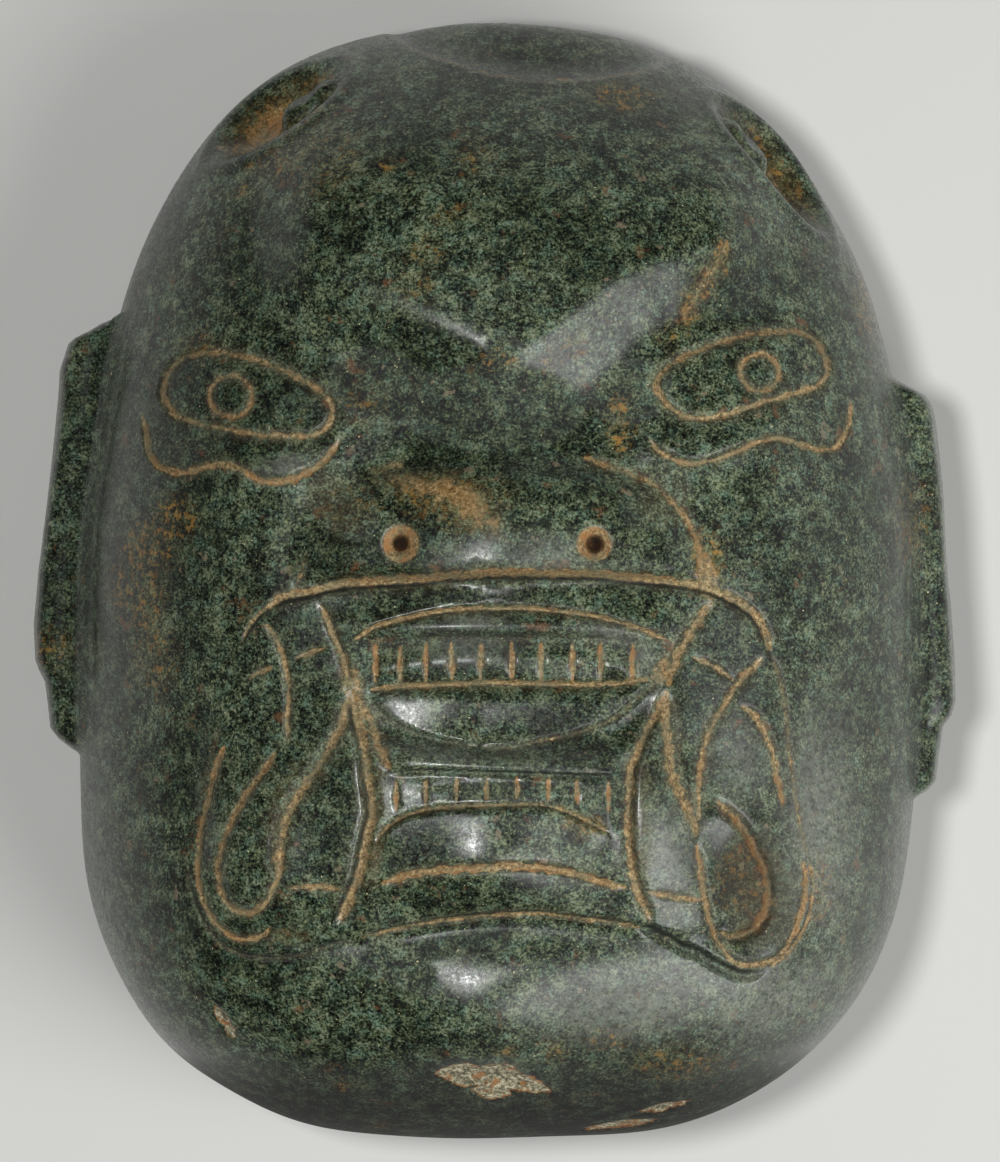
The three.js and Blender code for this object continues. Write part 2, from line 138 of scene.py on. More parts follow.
# Broad forms of the face: centre, radii, turn in degrees, and rise
FACE_FORMS = [
    # forehead
    ((2, 66), (32, 24), 0, 2.2),
    # sockets beside the bridge, and the bridge
    ((-15, 27), (11, 10), -20, -1.6),
    ((20, 28), (11, 10), 20, -2.0),
    ((2, 28), (8, 14), 0, 1.4),
    # cheeks, puffs under the eyes, eyeballs
    ((-50, 4), (20, 22), 0, 2.5),
    ((53, 4), (20, 22), 0, 2.5),
    ((-42, 21), (9, 4), -6, 2.2),
    ((41, 25), (13, 4), 12, 1.8),
    ((-44, 33), (14, 6.5), -14, 1.6),
    ((44, 36), (14, 6.5), 14, 1.6),
    # lower lip
    ((-3, -47), (11.5, 8.5), 0, 2.6),
    # fangs and the bands beside the mouth
    ((-43, -47), (6, 13), -14, 2.0),
    ((27.5, -38), (5, 18), 4, 2.2),
    ((43, -54), (6, 9), 10, -3.2),
    # upper lip, and the roll between tongue and lower teeth
    ((-1, -7.9), (20, 1.9), 0, 1.2),
    ((-3, -14), (15, 4.5), 0, 1.0),
    ((-15, -18.5), (7, 4.5), 0, 0.7),
    ((-7, -31.3), (15, 3.2), 0, 1.3),
    # hollow under the mouth, and the chin
    ((2, -60), (42, 5.6), 0, -2.3),
    ((-1, -38), (24, 46), 0, 1.6),
    ((-3.2, -78.4), (14.5, 10), 0, 4.7),
    ((9, -68), (12, 5.5), 0, 0.8),
]
NOSE_TIP = {"centre": (-1, 5.5), "radii": (19, 15), "rise": 4.4}
NOSE_LOBE = {"centre": (1.2, -1), "radii": (33, 21), "square": 2.6, "edge": 0.17, "rise": 3.0}
NOSE_UNDERSIDE = (-0.8, 2.2)
PLAQUE = {"centre": (2, -32), "radii": (53, 34), "square": 3.2, "edge": 0.05, "rise": 1.6}
PLAQUE_TOP = (5, 45)
PLAQUE_ARCH = {"centre": (3, 0), "radii": (26, 1), "rise": 7.5}
PLAQUE_ARCH_TOP = (20, 50)
TONGUE = {"centre": (2, -22), "radii": (26, 9), "square": 2.2, "edge": 0.16, "depth": 2.4}
TONGUE_TOP = (13, 20)
UPPER_TEETH = {"centre": (2, -14.6), "radii": (26, 5), "square": 4, "edge": 0.2, "depth": 1.4}

# The forehead ends in a V of two sloping facets: its edge from outside to the middle and out again
BROW_EDGE = [(-36, 55), (-28, 52.5), (-18, 48.5), (-9, 44.5), (-2, 41.2), (3.6, 40.2), (9.7, 43.5),
             (18.5, 51.3), (27, 55.8), (36, 58.3), (46, 60)]
BROW_RISE = 6.0
BROW_FLANK = 12.5
BROW_BEND = 1.35
BROW_LEFT_END = (-44, -30)
BROW_RIGHT_END = (38, 54)
BROW_TOP_END = (66, 96)


def brow_step(x, y):
    """The forehead standing over the eyes, with its full height behind the V and none below its flanks."""
    edge = np.array(BROW_EDGE, dtype=float)
    behind = y > np.interp(x, edge[:, 0], edge[:, 1])
    near = np.full(x.shape, np.inf)
    for (ax, ay), (bx, by) in zip(edge[:-1], edge[1:]):
        dx, dy = bx - ax, by - ay
        t = np.clip(((x - ax) * dx + (y - ay) * dy) / (dx * dx + dy * dy), 0, 1)
        near = np.minimum(near, np.hypot(x - ax - t * dx, y - ay - t * dy))
    down = np.where(behind, 0, near) / BROW_FLANK
    slope = (1 - np.clip(down, 0, 1)) ** BROW_BEND
    sides = smoothstep(*BROW_LEFT_END, x) * (1 - smoothstep(*BROW_RIGHT_END, x))
    fade = sides * (1 - smoothstep(*BROW_TOP_END, y))
    return BROW_RISE * slope * fade


# Soft valleys round the wings of the nose
WING_VALLEYS = [
    {"curve": [(-13, 20.5), (-20, 18.6), (-26, 14.8), (-30.5, 9.5), (-33, 3), (-34, -2)],
     "width": 5.0, "depth": 0.8},
    {"curve": [(13, 21.5), (20, 19.8), (27, 16.5), (32, 12), (34.8, 6.5), (36.4, 0)],
     "width": 4.4, "depth": 0.9},
]
WING_POINT_STEP = 2
WING_REACH = 12
WING_END = (-3, 7)
OUT_OF_REACH = 99


def wing_valley(x, y):
    """Depth of the valleys round the nose."""
    valley = np.zeros(x.shape)
    for wing in WING_VALLEYS:
        near, _, to_end = distance_to(spline(wing["curve"], WING_POINT_STEP), x, y, WING_REACH)
        near = np.minimum(near, OUT_OF_REACH)
        depth = wing["depth"] * np.exp(-(near / wing["width"]) ** 2)
        valley = np.maximum(valley, depth * smoothstep(*WING_END, to_end))
    return valley


def arched(x, y):
    """Y as the mouth's plaque takes it, so that its lower edge arches up over the chin."""
    arch = swelling(x, 0 * y, PLAQUE_ARCH["centre"], PLAQUE_ARCH["radii"])
    return y - PLAQUE_ARCH["rise"] * arch * smoothstep(*PLAQUE_ARCH_TOP, -y)


def face_relief(x, y):
    """Height of the broad carving over the plain head."""
    underside = smoothstep(*NOSE_UNDERSIDE, y)
    relief = NOSE_LOBE["rise"] * on_plan(x, y, NOSE_LOBE) * underside
    relief += NOSE_TIP["rise"] * swelling(x, y, NOSE_TIP["centre"], NOSE_TIP["radii"]) * underside
    relief += PLAQUE["rise"] * smoothstep(*PLAQUE_TOP, -y) * on_plan(x, arched(x, y), PLAQUE)
    relief -= TONGUE["depth"] * on_plan(x, y, TONGUE) * smoothstep(*TONGUE_TOP, -y)
    relief -= UPPER_TEETH["depth"] * on_plan(x, y, UPPER_TEETH)
    for centre, radii, turn, rise in FACE_FORMS:
        relief += rise * swelling(x, y, centre, radii, turn)
    return relief + brow_step(x, y) - wing_valley(x, y)


# Incised lines: name, width, depth, tan residue, rust, bare side, step and points. The bare side is
# the wall of the cut that holds no residue: the left one as the line runs, or the right one where it
# is negative. Its size is also how dark the painted shade on that wall is, and where a line holds
# little residue this painted shade makes it a dark shadow line. A step is the height and reach of
# stone lifted beside the line: on its left as it runs, or on its right where the height is negative.
LINES = [
    ("left eye", 1.5, 0.5, 0.7, 0.35, 0.4, (-0.5, 4), [
        (-58.9, 32.8), (-57.9, 36.6), (-55.5, 39.2), (-51.5, 40.3), (-47.5, 40.1), (-42.6, 39.0),
        (-37.5, 37.1), (-33.6, 35.1), (-29.9, 32.7), (-28.4, 30.4), (-28.5, 28.0), (-30.4, 25.9),
        (-33.1, 25.1), (-38.6, 25.2), (-44.1, 25.8), (-49, 26.7), (-53.7, 28.0), (-56.8, 29.6),
        (-58.9, 32.8)]),
    ("right eye", 1.5, 0.5, 0.75, 0.3, 0.5, (-0.5, 4), [
        (28.4, 34.1), (28.9, 36.0), (31.0, 37.9), (34.8, 40.0), (38.9, 41.6), (43.3, 43.0), (47.7, 43.8),
        (52.4, 44.1), (55.8, 43.3), (57.8, 41.2), (58.9, 37.9), (58.3, 35.2), (56.1, 33.7), (51.6, 32.3),
        (47.0, 31.0), (42.6, 29.5), (38.2, 28.4), (34.2, 28.5), (31.5, 29.7), (29.5, 31.6), (28.4, 34.1)]),
    ("under left eye", 1.4, 0.5, 0.9, 0.7, 0.4, (0.6, 3), [
        (-62.6, 29.7), (-61.7, 27.0), (-61.4, 24.4), (-60.5, 21.9), (-59.0, 20.2), (-56.5, 19.1),
        (-53.3, 19.1), (-50.2, 20.0), (-47.6, 20.4), (-45.1, 19.8), (-42.8, 18.6), (-40.1, 17.4),
        (-37.5, 17.3), (-34.4, 18.1), (-31.6, 19.6), (-28.9, 22.0), (-27.0, 24.9)]),
    ("under right eye", 1.3, 0.5, 0.8, 0.45, 0.4, (0.6, 3), [
        (26.9, 25.2), (28.6, 23.1), (31.0, 21.5), (34.5, 20.5), (37.2, 20.8), (40.5, 21.8), (43.7, 23.2),
        (46.7, 24.5), (50.3, 24.9), (53.5, 24.0), (56.9, 23.2), (59.6, 23.4), (61.7, 25.3), (62.8, 28.6),
        (63.1, 32.0)]),
    ("upper lip end", 1.1, 0.5, 0.6, 0.2, -0.9, (0, 4), [
        (-44.3, -11.5), (-43.1, -8.8), (-41.1, -6.1), (-38, -3.8)]),
    ("upper lip", 1.8, 0.7, 0.95, 0.35, -0.9, (0, 4), [
        (-40.2, -5.3), (-38.7, -4.2), (-36.6, -3.2), (-32.0, -2.2), (-25.8, -0.9), (-14.7, -0.2),
        (-5.7, 0.6), (1.8, 1.0), (9.4, 0.9), (16.9, 0.8), (24.4, 0.1), (32.1, -0.7), (37.0, -1.6),
        (41.2, -3.3), (44.0, -4.9), (46.2, -7.0), (47.5, -9.8), (48.4, -12.8)]),
    ("right frame", 1.0, 0.25, 0.5, 0.4, 0.3, (0, 4), [
        (48.4, -12.8), (49.5, -15.6), (50.9, -21.1), (51.5, -25.1), (52.0, -29.2), (52.8, -35.7),
        (53.3, -39.5), (53.8, -42.8), (54.9, -49.0)]),
    ("left frame", 1.0, 0.3, 0.35, 0.3, 0.3, (0, 4), [
        (-48.1, -24.3), (-49.3, -29.0), (-50.6, -33.5), (-51.7, -39.1)]),
    ("upper lip inside", 1.2, 0.6, 0.75, 0.25, -0.6, (1.1, 4.5), [
        (-24.8, -10.9), (-23.3, -9.7), (-20.8, -8.3), (-17.0, -7.2), (-12.3, -6.1), (-6.7, -5.3),
        (-1.3, -5.1), (6.0, -5.1), (13.4, -5.8), (18.9, -6.7), (24.5, -8.3), (30.4, -10.6)]),
    ("upper teeth edge", 1.2, 0.7, 0.85, 0.25, -0.6, (1.1, 5), [
        (-22.2, -19.3), (-19.5, -19.1), (-14.1, -18.6), (-8.6, -18.4), (-1.3, -18.0), (6.0, -18.2),
        (13.5, -18.4), (20.9, -18.3), (24.5, -17.7), (27.3, -17.4)]),
    ("upper teeth top", 2.4, 0.2, 0.1, 0.0, 0.5, (0, 4), [
        (-23, -11.8), (-15, -10.7), (-8, -10.1), (2, -9.9), (12, -10.1), (20, -10.7), (28, -11.8)]),
    ("tongue edge left", 1.0, 0.5, 0.25, 0.2, 0.8, (0.9, 6), [
        (-22.2, -19.6), (-20.7, -22.0), (-18.6, -24.1), (-15.6, -25.9), (-12.3, -27.2), (-8.2, -28.2),
        (-2.7, -29.1)]),
    ("tongue edge right", 1.0, 0.4, 0.4, 0.2, 0.4, (0.5, 6), [
        (-2.7, -29.1), (2.4, -29.3), (8.0, -28.1), (12.7, -27.2), (17.0, -25.8), (20.9, -24.1),
        (24.1, -21.4), (26.4, -19.2), (27.8, -17.4)]),
    ("lower teeth top", 1.0, 0.7, 0.05, 0.0, 1.0, (0.5, 4), [
        (-18.6, -33.8), (-12.3, -33.4), (-5.0, -33.6), (2.4, -33.8), (9.6, -34.1), (15.3, -34.3),
        (22.0, -34.4)]),
    ("lower lip top", 1.1, 0.6, 0.65, 0.25, -0.6, (-0.8, 4), [
        (-21.0, -46.7), (-19.4, -44.1), (-16.7, -41.9), (-13.0, -40.5), (-9.4, -39.9), (-5.0, -39.6),
        (0.6, -39.5), (6.0, -39.3), (9.8, -39.7), (13.4, -40.9), (17.1, -42.7), (20.5, -44.5)]),
    ("lower lip bottom", 1.5, 0.5, 1.0, 0.55, 0.4, (0.3, 4), [
        (-20.1, -53.1), (-17.6, -52.4), (-14.4, -51.3), (-9.7, -50.6), (-1.3, -50.1), (4.3, -49.9),
        (9.7, -50.4), (15.3, -51.5), (18.5, -52.6), (23.5, -53.8)]),
    ("left band outside", 1.5, 0.6, 0.8, 0.4, 0.6, (0, 4), [
        (-31.0, -3.8), (-29.4, -6.1), (-28.3, -8.8), (-27.1, -11.7), (-25.9, -14.8), (-25.3, -17.4),
        (-24.9, -19.3)]),
    ("left band middle", 2.4, 0.9, 0.75, 0.3, -0.7, (-1.3, 7), [
        (-24.9, -19.3), (-24.4, -23.7), (-23.5, -27.2), (-22.7, -30.9), (-22.3, -34.4), (-21.8, -38.0),
        (-21.6, -41.0), (-22.4, -44.3), (-23.2, -47.5), (-23.8, -50.9), (-25.0, -54.2), (-26.4, -57.4),
        (-27.6, -60.2)]),
    ("left band inside", 2.2, 0.6, 0.7, 0.35, 0.0, (0, 4), [
        (-24.2, -20.1), (-22.9, -22.4), (-21.4, -25.2), (-20.3, -28.6), (-19.0, -31.6), (-17.9, -33.6)]),
    ("left fang root", 2.6, 0.9, 0.65, 0.2, -0.4, (-0.6, 3), [
        (-24.9, -19.3), (-26.2, -22.6), (-26.5, -24.7), (-28.0, -27.8), (-30.0, -31.2), (-32.1, -34.4),
        (-35.0, -38.6), (-36.6, -41.9), (-37.3, -44.8), (-37.7, -48.0), (-37.8, -53.0)]),
    ("left fang inner", 1.2, 0.45, 0.7, 0.4, 0.4, (0, 4), [
        (-40.5, -7.2), (-38.9, -9.2), (-37.4, -11.8), (-36.5, -14.8), (-36.0, -17.9), (-36.0, -21.6),
        (-36.2, -25.2), (-36.3, -29.0)]),
    ("left fang", 1.4, 0.5, 0.85, 0.45, 0.4, (0.7, 5), [
        (-38.2, -29.9), (-39.5, -31.9), (-41.3, -34.7), (-43.2, -37.2), (-44.4, -39.2), (-46.0, -42.3),
        (-47.2, -45.2), (-47.9, -47.8), (-48.3, -50.6), (-47.9, -53.3), (-47.2, -55.7), (-45.6, -57.6),
        (-43.5, -58.1), (-41.3, -57.7), (-39.6, -55.8), (-38.4, -53.4), (-37.7, -50.7), (-37.4, -46.5)]),
    ("left fang outer", 1.2, 0.5, 0.9, 0.55, 0.4, (0.3, 4), [
        (-47.4, -28.9), (-48.6, -32.0), (-49.9, -36.2), (-50.3, -38.9), (-51.2, -42.1), (-51.7, -45.1),
        (-51.9, -48.3), (-51.9, -51.4), (-51.4, -54.6), (-50.4, -57.4), (-49.0, -59.8), (-46.7, -62.0),
        (-44.6, -62.9), (-42.3, -62.8), (-40.3, -62.1), (-39.0, -60.5)]),
    ("left corner edge", 0.9, 0.5, 0.25, 0.3, 0.8, (0, 5), [
        (-54.0, -50.2), (-53.6, -53.4), (-52.5, -56.5), (-51.2, -59.6), (-49.2, -62.5), (-46.7, -64.5),
        (-43.5, -65.8), (-39.7, -66.3), (-36.5, -66.2), (-33.3, -65.5), (-28.5, -64.0), (-23.8, -62.6)]),
    ("mouth bottom", 1.2, 0.5, 0.6, 0.35, 0.7, (0.5, 5), [
        (-23.8, -62.6), (-17.7, -61.0), (-11.4, -59.7), (-6.1, -59.0), (0.3, -58.4), (8.3, -58.2),
        (17.2, -59.3), (22.5, -60.0), (26.0, -60.9)]),
    ("right corner edge", 2.0, 1.3, 0.05, 0.0, 0.9, (0.8, 4), [
        (24.0, -60.4), (26.9, -61.2), (29.7, -62.5), (32.6, -64.3), (35.4, -65.4), (38.2, -67.1),
        (41.1, -68.6), (43.1, -69.4), (45.2, -69.4), (47.9, -68.4)]),
    ("right corner loop", 1.1, 0.5, 0.65, 0.5, 0.6, (0, 3), [
        (47.9, -68.4), (49.8, -66.9), (51.8, -65.0), (53.6, -62.4), (54.8, -59.9), (55.5, -56.9),
        (55.7, -53.1), (54.9, -49.0)]),
    ("right band outside", 1.9, 0.7, 0.8, 0.35, -0.4, (0, 4), [
        (38.6, -3.3), (37.0, -5.2), (35.1, -7.9), (33.2, -10.9), (31.8, -13.9), (30.7, -16.5),
        (30.2, -18.9)]),
    ("right band inside", 1.9, 0.7, 0.75, 0.3, 0.5, (0.5, 3), [
        (30.2, -18.9), (28.5, -23.7), (26.7, -26.7), (25.1, -30.6), (24.1, -33.2), (23.8, -36.5),
        (23.6, -39.8), (23.6, -43.7), (23.8, -47.0), (24.3, -50.5), (25.2, -53.8), (26.4, -57.1),
        (27.8, -60.1)]),
    ("right fang root", 2.2, 0.8, 0.75, 0.2, 0.4, (-0.4, 3), [
        (30.2, -18.9), (30.1, -22.5), (30.2, -26.6), (30.6, -30.7), (31.3, -34.1), (32.7, -37.3),
        (34.1, -40.2), (35.0, -42.7), (35.4, -45.6)]),
    ("right fang outer", 1.3, 0.6, 0.8, 0.6, 0.6, (0, 3), [
        (35.4, -45.6), (35.9, -48.4), (36.4, -52.0), (36.9, -55.2), (37.5, -58.0), (38.3, -60.8),
        (39.2, -63.1), (40.7, -65.2), (42.3, -66.9), (44.7, -67.5), (47.0, -67.3), (49.0, -66.6),
        (50.8, -65.0), (51.9, -63.1), (53.0, -60.3), (53.9, -57.1), (54.4, -54.3), (54.4, -51.8),
        (53.9, -49.0)]),
    ("right fang line", 1.8, 0.5, 0.7, 0.6, 0.5, (0, 4), [
        (47.3, -13.2), (45.3, -15.5), (43.4, -17.6), (41.6, -20.1), (39.9, -22.8), (38.3, -25.6),
        (37.3, -27.9), (36.4, -31.6), (36.0, -35.3), (35.9, -39.1), (35.9, -42.5)]),
    ("right fang back", 1.5, 0.45, 0.75, 0.7, 0.4, (0, 4), [
        (42.7, -21.9), (44.9, -23.1), (46.8, -25.4), (48.0, -27.7), (49.1, -30.6), (49.6, -33.2),
        (50.2, -36.1), (51.1, -40.2)]),
    ("right fang curl", 2.2, 1.0, 0.7, 1.0, 0.5, (-1.2, 4), [
        (38.8, -38.0), (40.5, -40.2), (42.3, -41.8), (44.0, -43.8), (45.4, -46.1), (46.4, -48.6),
        (47.5, -50.9), (48.1, -53.4), (48.1, -56.2), (47.6, -58.8), (46.2, -60.9), (44.3, -62.2),
        (42.0, -62.9), (40.3, -62.4), (39.3, -61.5)]),
    ("left band cut", 1.3, 0.35, 0.85, 0.5, 0.3, (0, 4), [(-43.3, -17.6), (-41.3, -16.2), (-38.3, -15.0)]),
    ("left band cut 2", 1.3, 0.35, 0.75, 0.4, 0.3, (0, 4), [(-35.3, -13.9), (-32.1, -12.6), (-29.2, -11.8)]),
    ("left low cut", 1.2, 0.35, 0.9, 0.5, 0.3, (0, 4), [(-36.2, -53.8), (-31.0, -53.6), (-26.3, -54.1)]),
    ("right band cut", 1.3, 0.35, 0.75, 0.35, 0.3, (0, 4), [
        (34.3, -13.3), (37.3, -14.6), (39.9, -16.0), (42.4, -18.0)]),
    ("right low cut", 1.4, 0.35, 0.75, 0.35, 0.3, (0, 4), [(26.3, -54.5), (31.1, -55.3), (37.0, -56.1)]),
    ("left wing top", 2.4, 0.25, 0.65, 0.1, 0.2, (0, 4), [(-15.5, 19.8), (-17.5, 20), (-20, 19)]),
    ("left wing end", 1.4, 0.2, 0.35, 0.3, 0.0, (0, 4), [(-33.2, 5), (-33.8, 1), (-35.6, -2.5)]),
    ("right wing", 1.8, 0.35, 0.62, 0.9, 0.2, (0, 4), [
        (15.1, 21.6), (21, 19.6), (27.0, 17.2), (32.0, 13.0), (35.1, 8.2), (36.2, 3.7), (37.2, 0.6),
        (38.5, -1.8)]),
    ("brow streak", 2.6, 0.3, 0.46, 1.0, 0.0, (0, 4), [
        (41.1, 59.5), (38.8, 55.4), (36.2, 51.1), (32.6, 44.9)]),
]

# Teeth: rows of short upright cuts, at the places of the real ones. The spread is how much lower the
# outermost cuts end, and they start lower by a share of it.
TOOTH_ROWS = [
    {"cuts": [-20.7, -16.4, -11.9, -7.4, -2.3, 3.1, 8.2, 13.7, 18.6, 24.2],
     "top": -10.5, "bottom": -18.1, "spread": 0.6},
    {"cuts": [-17.1, -12.0, -6.6, -1.3, 4.0, 9.5, 14.5, 20.0],
     "top": -34.0, "bottom": -38.9, "spread": 2.0},
]
TOOTH_TOP_SHARE = 0.4
TOOTH_CUT = {"width": 1.0, "depth": 0.45, "residue": 1.15, "rust": 0.9, "bare": 0.3, "step": (0, 4)}

# Irises: middle and radius of the ring
IRISES = [(-46.3, 32.3, 3.6), (46.7, 36.5, 3.25)]
IRIS_CUT = {"width": 1.3, "depth": 0.4, "residue": 0.75, "rust": 0.6, "bare": 0.4, "step": (0, 4)}
IRIS_POINTS = 60

# Drilled nostrils: a cone with a narrower hole in its middle, and where their edges fade, in radii
NOSTRILS = [{"centre": (-16.4, 6.4), "cone": 3.5, "hole": 1.5},
            {"centre": (17.5, 6.3), "cone": 3.3, "hole": 1.6}]
CONE_DEPTH = 0.9
HOLE_DEPTH = 3.0
HOLE_EDGE = (0.6, 1.1)
CONE_STAIN_EDGE = (0.75, 1.15)
# Where the painted shade in a hole fades, in radii
HOLE_SHADE_EDGE = (0.7, 1.15)

LINE_POINT_STEP = 0.5
CLOSED_GAP = 0.5
# Where a line and the dirt in it fade in, in millimetres from its end, and how wide it starts
LINE_END = (-0.6, 3.5)
DIRT_END = (-0.2, 1.0)
END_WIDTH = 0.4
# How far a line is looked for: plain, or in reaches of the step beside it
LINE_REACH = 4
STEP_REACHES = 3
# Across a line, in halves of its width: the cut, the dirt and its halo, the painted shade on the bare wall,
# the rust at its edges and the matt edge, which is narrower where the lip beside it is high and polished
CUT_REACH = 1.5
DIRT_SHIFT = 0.35
DIRT_REACH = 1.1
DIRT_FILL = 1.25
HALO_SHARE = 0.24
HALO_REACH = (0.5, 2.9)
WALL_SHADE_SHIFT = 0.8
WALL_SHADE_REACH = 0.65
WALL_SHADE_FILL = 1.2
RUST_REACH = (0.1, 1.1)
RUST_MIDDLE = 0.35
RUST_EDGE = 0.75
MATT_REACH = 2.2
LIP_MATT_REACH = 1.3
LIP_HEIGHT = 0.8


def spline(points, step=LINE_POINT_STEP):
    """A smooth curve through the points, as closely spaced points."""
    control = np.array(points, dtype=float)
    before = 2 * control[:1] - control[1:2]
    after = 2 * control[-1:] - control[-2:-1]
    p = np.vstack([before, control, after])
    out = []
    for i in range(1, len(p) - 2):
        count = max(2, int(np.linalg.norm(p[i + 1] - p[i]) / step))
        t = np.linspace(0, 1, count, endpoint=False)[:, None]
        out.append(0.5 * (2 * p[i] + (p[i + 1] - p[i - 1]) * t
                          + (2 * p[i - 1] - 5 * p[i] + 4 * p[i + 1] - p[i + 2]) * t**2
                          + (3 * p[i] - p[i - 1] - 3 * p[i + 1] + p[i + 2]) * t**3))
    out.append(control[-1:])
    return np.vstack(out)


def tooth_cuts(row):
    """The upright cuts between the teeth of a row."""
    middle = (len(row["cuts"]) - 1) / 2
    cuts = []
    for i, x in enumerate(row["cuts"]):
        lower = row["spread"] * (abs(i - middle) / middle) ** 3
        ends = [(x, row["top"] - TOOTH_TOP_SHARE * lower), (x, row["bottom"] - lower)]
        cuts.append({**TOOTH_CUT, "curve": spline(ends)})
    return cuts


def carved_lines():
    """Every incised line as a dictionary with its curve."""
    lines = []
    for _, width, depth, residue, rust, bare, step, points in LINES:
        lines.append({"width": width, "depth": depth, "residue": residue, "rust": rust, "bare": bare,
                      "step": step, "curve": spline(points)})
    for row in TOOTH_ROWS:
        lines += tooth_cuts(row)
    for x, y, radius in IRISES:
        turns = np.linspace(0, 2 * math.pi, IRIS_POINTS)
        ring = np.column_stack([x + radius * np.cos(turns), y + radius * np.sin(turns)])
        lines.append({**IRIS_CUT, "curve": ring})
    return lines


def distance_to(curve, x, y, reach):
    """Distance to a curve, the same with a minus on its right, and how near each point is to its ends."""
    near = np.full(x.shape, np.inf)
    signed = np.zeros(x.shape)
    to_end = np.full(x.shape, np.inf)
    low, high = curve.min(axis=0) - reach, curve.max(axis=0) + reach
    picked = np.nonzero((x > low[0]) & (x < high[0]) & (y > low[1]) & (y < high[1]))[0]
    if not len(picked):
        return near, signed, to_end
    px, py = x[picked], y[picked]
    best = np.full(px.shape, np.inf)
    side = np.zeros(px.shape)
    along = np.zeros(px.shape)
    run = np.concatenate([[0], np.cumsum(np.linalg.norm(np.diff(curve, axis=0), axis=1))])
    for i in range(len(curve) - 1):
        ax, ay = curve[i]
        dx, dy = curve[i + 1] - curve[i]
        length2 = dx * dx + dy * dy
        if length2 < TINY:
            continue
        t = np.clip(((px - ax) * dx + (py - ay) * dy) / length2, 0, 1)
        d = np.hypot(px - ax - t * dx, py - ay - t * dy)
        closer = d < best
        best = np.where(closer, d, best)
        side = np.where(closer, dx * (py - ay) - dy * (px - ax), side)
        along = np.where(closer, run[i] + t * math.sqrt(length2), along)
    near[picked] = best
    signed[picked] = np.where(side > 0, best, -best)
    to_end[picked] = np.minimum(along, run[-1] - along)
    return near, signed, to_end


def end_fade(curve, far, to_end, fade):
    """1 along a line and 0 past its ends. A ring has none."""
    closed = np.linalg.norm(curve[0] - curve[-1]) < CLOSED_GAP
    return np.where(far, 0, 1.0 if closed else smoothstep(*fade, to_end))


def dirt_waver(x, y):
    """How wide the dirt in a line is, wavering by up to two fifths about every three millimetres."""
    return 1 + 0.22 * np.sin(x * 1.9 + 2 * np.sin(y * 0.7)) + 0.18 * np.sin(y * 2.3 + 1.7 * np.sin(x * 0.9))


def dirt_in(line, signed, half, waver):
    """The tan dirt packed in a line, towards the wall that isn't bare."""
    off = np.abs(signed + line["bare"] * half * DIRT_SHIFT)
    return line["residue"] * np.clip(DIRT_FILL - off / (DIRT_REACH * half * waver), 0, 1)


def halo_round(line, near, half):
    """The faint dirt on the stone beside a line."""
    return HALO_SHARE * line["residue"] * (1 - smoothstep(HALO_REACH[0] * half, HALO_REACH[1] * half, near))


def painted_wall_shade(line, signed, half):
    """Painted shade on the wall of a line that holds no dirt."""
    off = np.abs(signed - line["bare"] * half * WALL_SHADE_SHIFT)
    return abs(line["bare"]) * np.clip(WALL_SHADE_FILL - off / (WALL_SHADE_REACH * half), 0, 1)


def matt_edge(line, near, half):
    """The stone along a line, which the polish doesn't reach."""
    reach = LIP_MATT_REACH if abs(line["step"][0]) >= LIP_HEIGHT else MATT_REACH
    return 1 - smoothstep(half, reach * half, near)


def step_beside(line, signed, half):
    """The stone lifted on one side of a line."""
    height, reach = line["step"]
    lifted = signed > 0 if height > 0 else signed < 0
    edge = smoothstep(0, half, np.abs(signed))
    return abs(height) * lifted * edge * np.exp(-(signed / reach) ** 2)


def line_marks(x, y, lines):
    """What the lines cut away, the steps beside them, and the residue, rust, painted shade and dullness they
    hold.
    """
    marks = {name: np.zeros(x.shape) for name in ("cut", "step", "residue", "rust", "shade", "dull")}
    waver = dirt_waver(x, y)
    for line in lines:
        height, reach = line["step"]
        looked = STEP_REACHES * reach if height else LINE_REACH
        near, signed, to_end = distance_to(line["curve"], x, y, looked)
        far = ~np.isfinite(near)
        near = np.where(far, OUT_OF_REACH, near)
        ends = end_fade(line["curve"], far, to_end, LINE_END)
        half = line["width"] / 2 * (END_WIDTH + (1 - END_WIDTH) * ends)
        inside = np.clip(1 - (near / (CUT_REACH * half)) ** 2, 0, 1)
        dirt = dirt_in(line, signed, half, waver) * end_fade(line["curve"], far, to_end, DIRT_END)
        rusty = line["rust"] * (RUST_MIDDLE + RUST_EDGE * smoothstep(*RUST_REACH, near / half))
        marks["rust"] = np.where(dirt > marks["residue"], rusty, marks["rust"])
        found = {"cut": line["depth"] * inside**2 * ends,
                 "residue": np.maximum(dirt, halo_round(line, near, half) * ends),
                 "shade": painted_wall_shade(line, signed, half) * ends,
                 "dull": matt_edge(line, near, half) * ends}
        for name, values in found.items():
            marks[name] = np.maximum(marks[name], values)
        marks["step"] += step_beside(line, signed, half) * ends
    return marks


def nostril_marks(x, y):
    """What the drill cut away, the stained cone and the painted shade in its hole."""
    marks = {name: np.zeros(x.shape) for name in ("cut", "stain", "hole_shade")}
    for nostril in NOSTRILS:
        d = np.hypot(x - nostril["centre"][0], y - nostril["centre"][1])
        cone, hole = d / nostril["cone"], d / nostril["hole"]
        marks["cut"] += CONE_DEPTH * (1 - smoothstep(nostril["hole"], nostril["cone"], d))
        marks["cut"] += HOLE_DEPTH * (1 - smoothstep(*HOLE_EDGE, hole))
        marks["stain"] += 1 - smoothstep(*CONE_STAIN_EDGE, cone)
        marks["hole_shade"] += 1 - smoothstep(*HOLE_SHADE_EDGE, hole)
    return marks


# The blank and its mapping
def disc_of(u, v):
    """A square of the grid laid on a round disc."""
    return u * np.sqrt(1 - v * v / 2), v * np.sqrt(1 - u * u / 2)


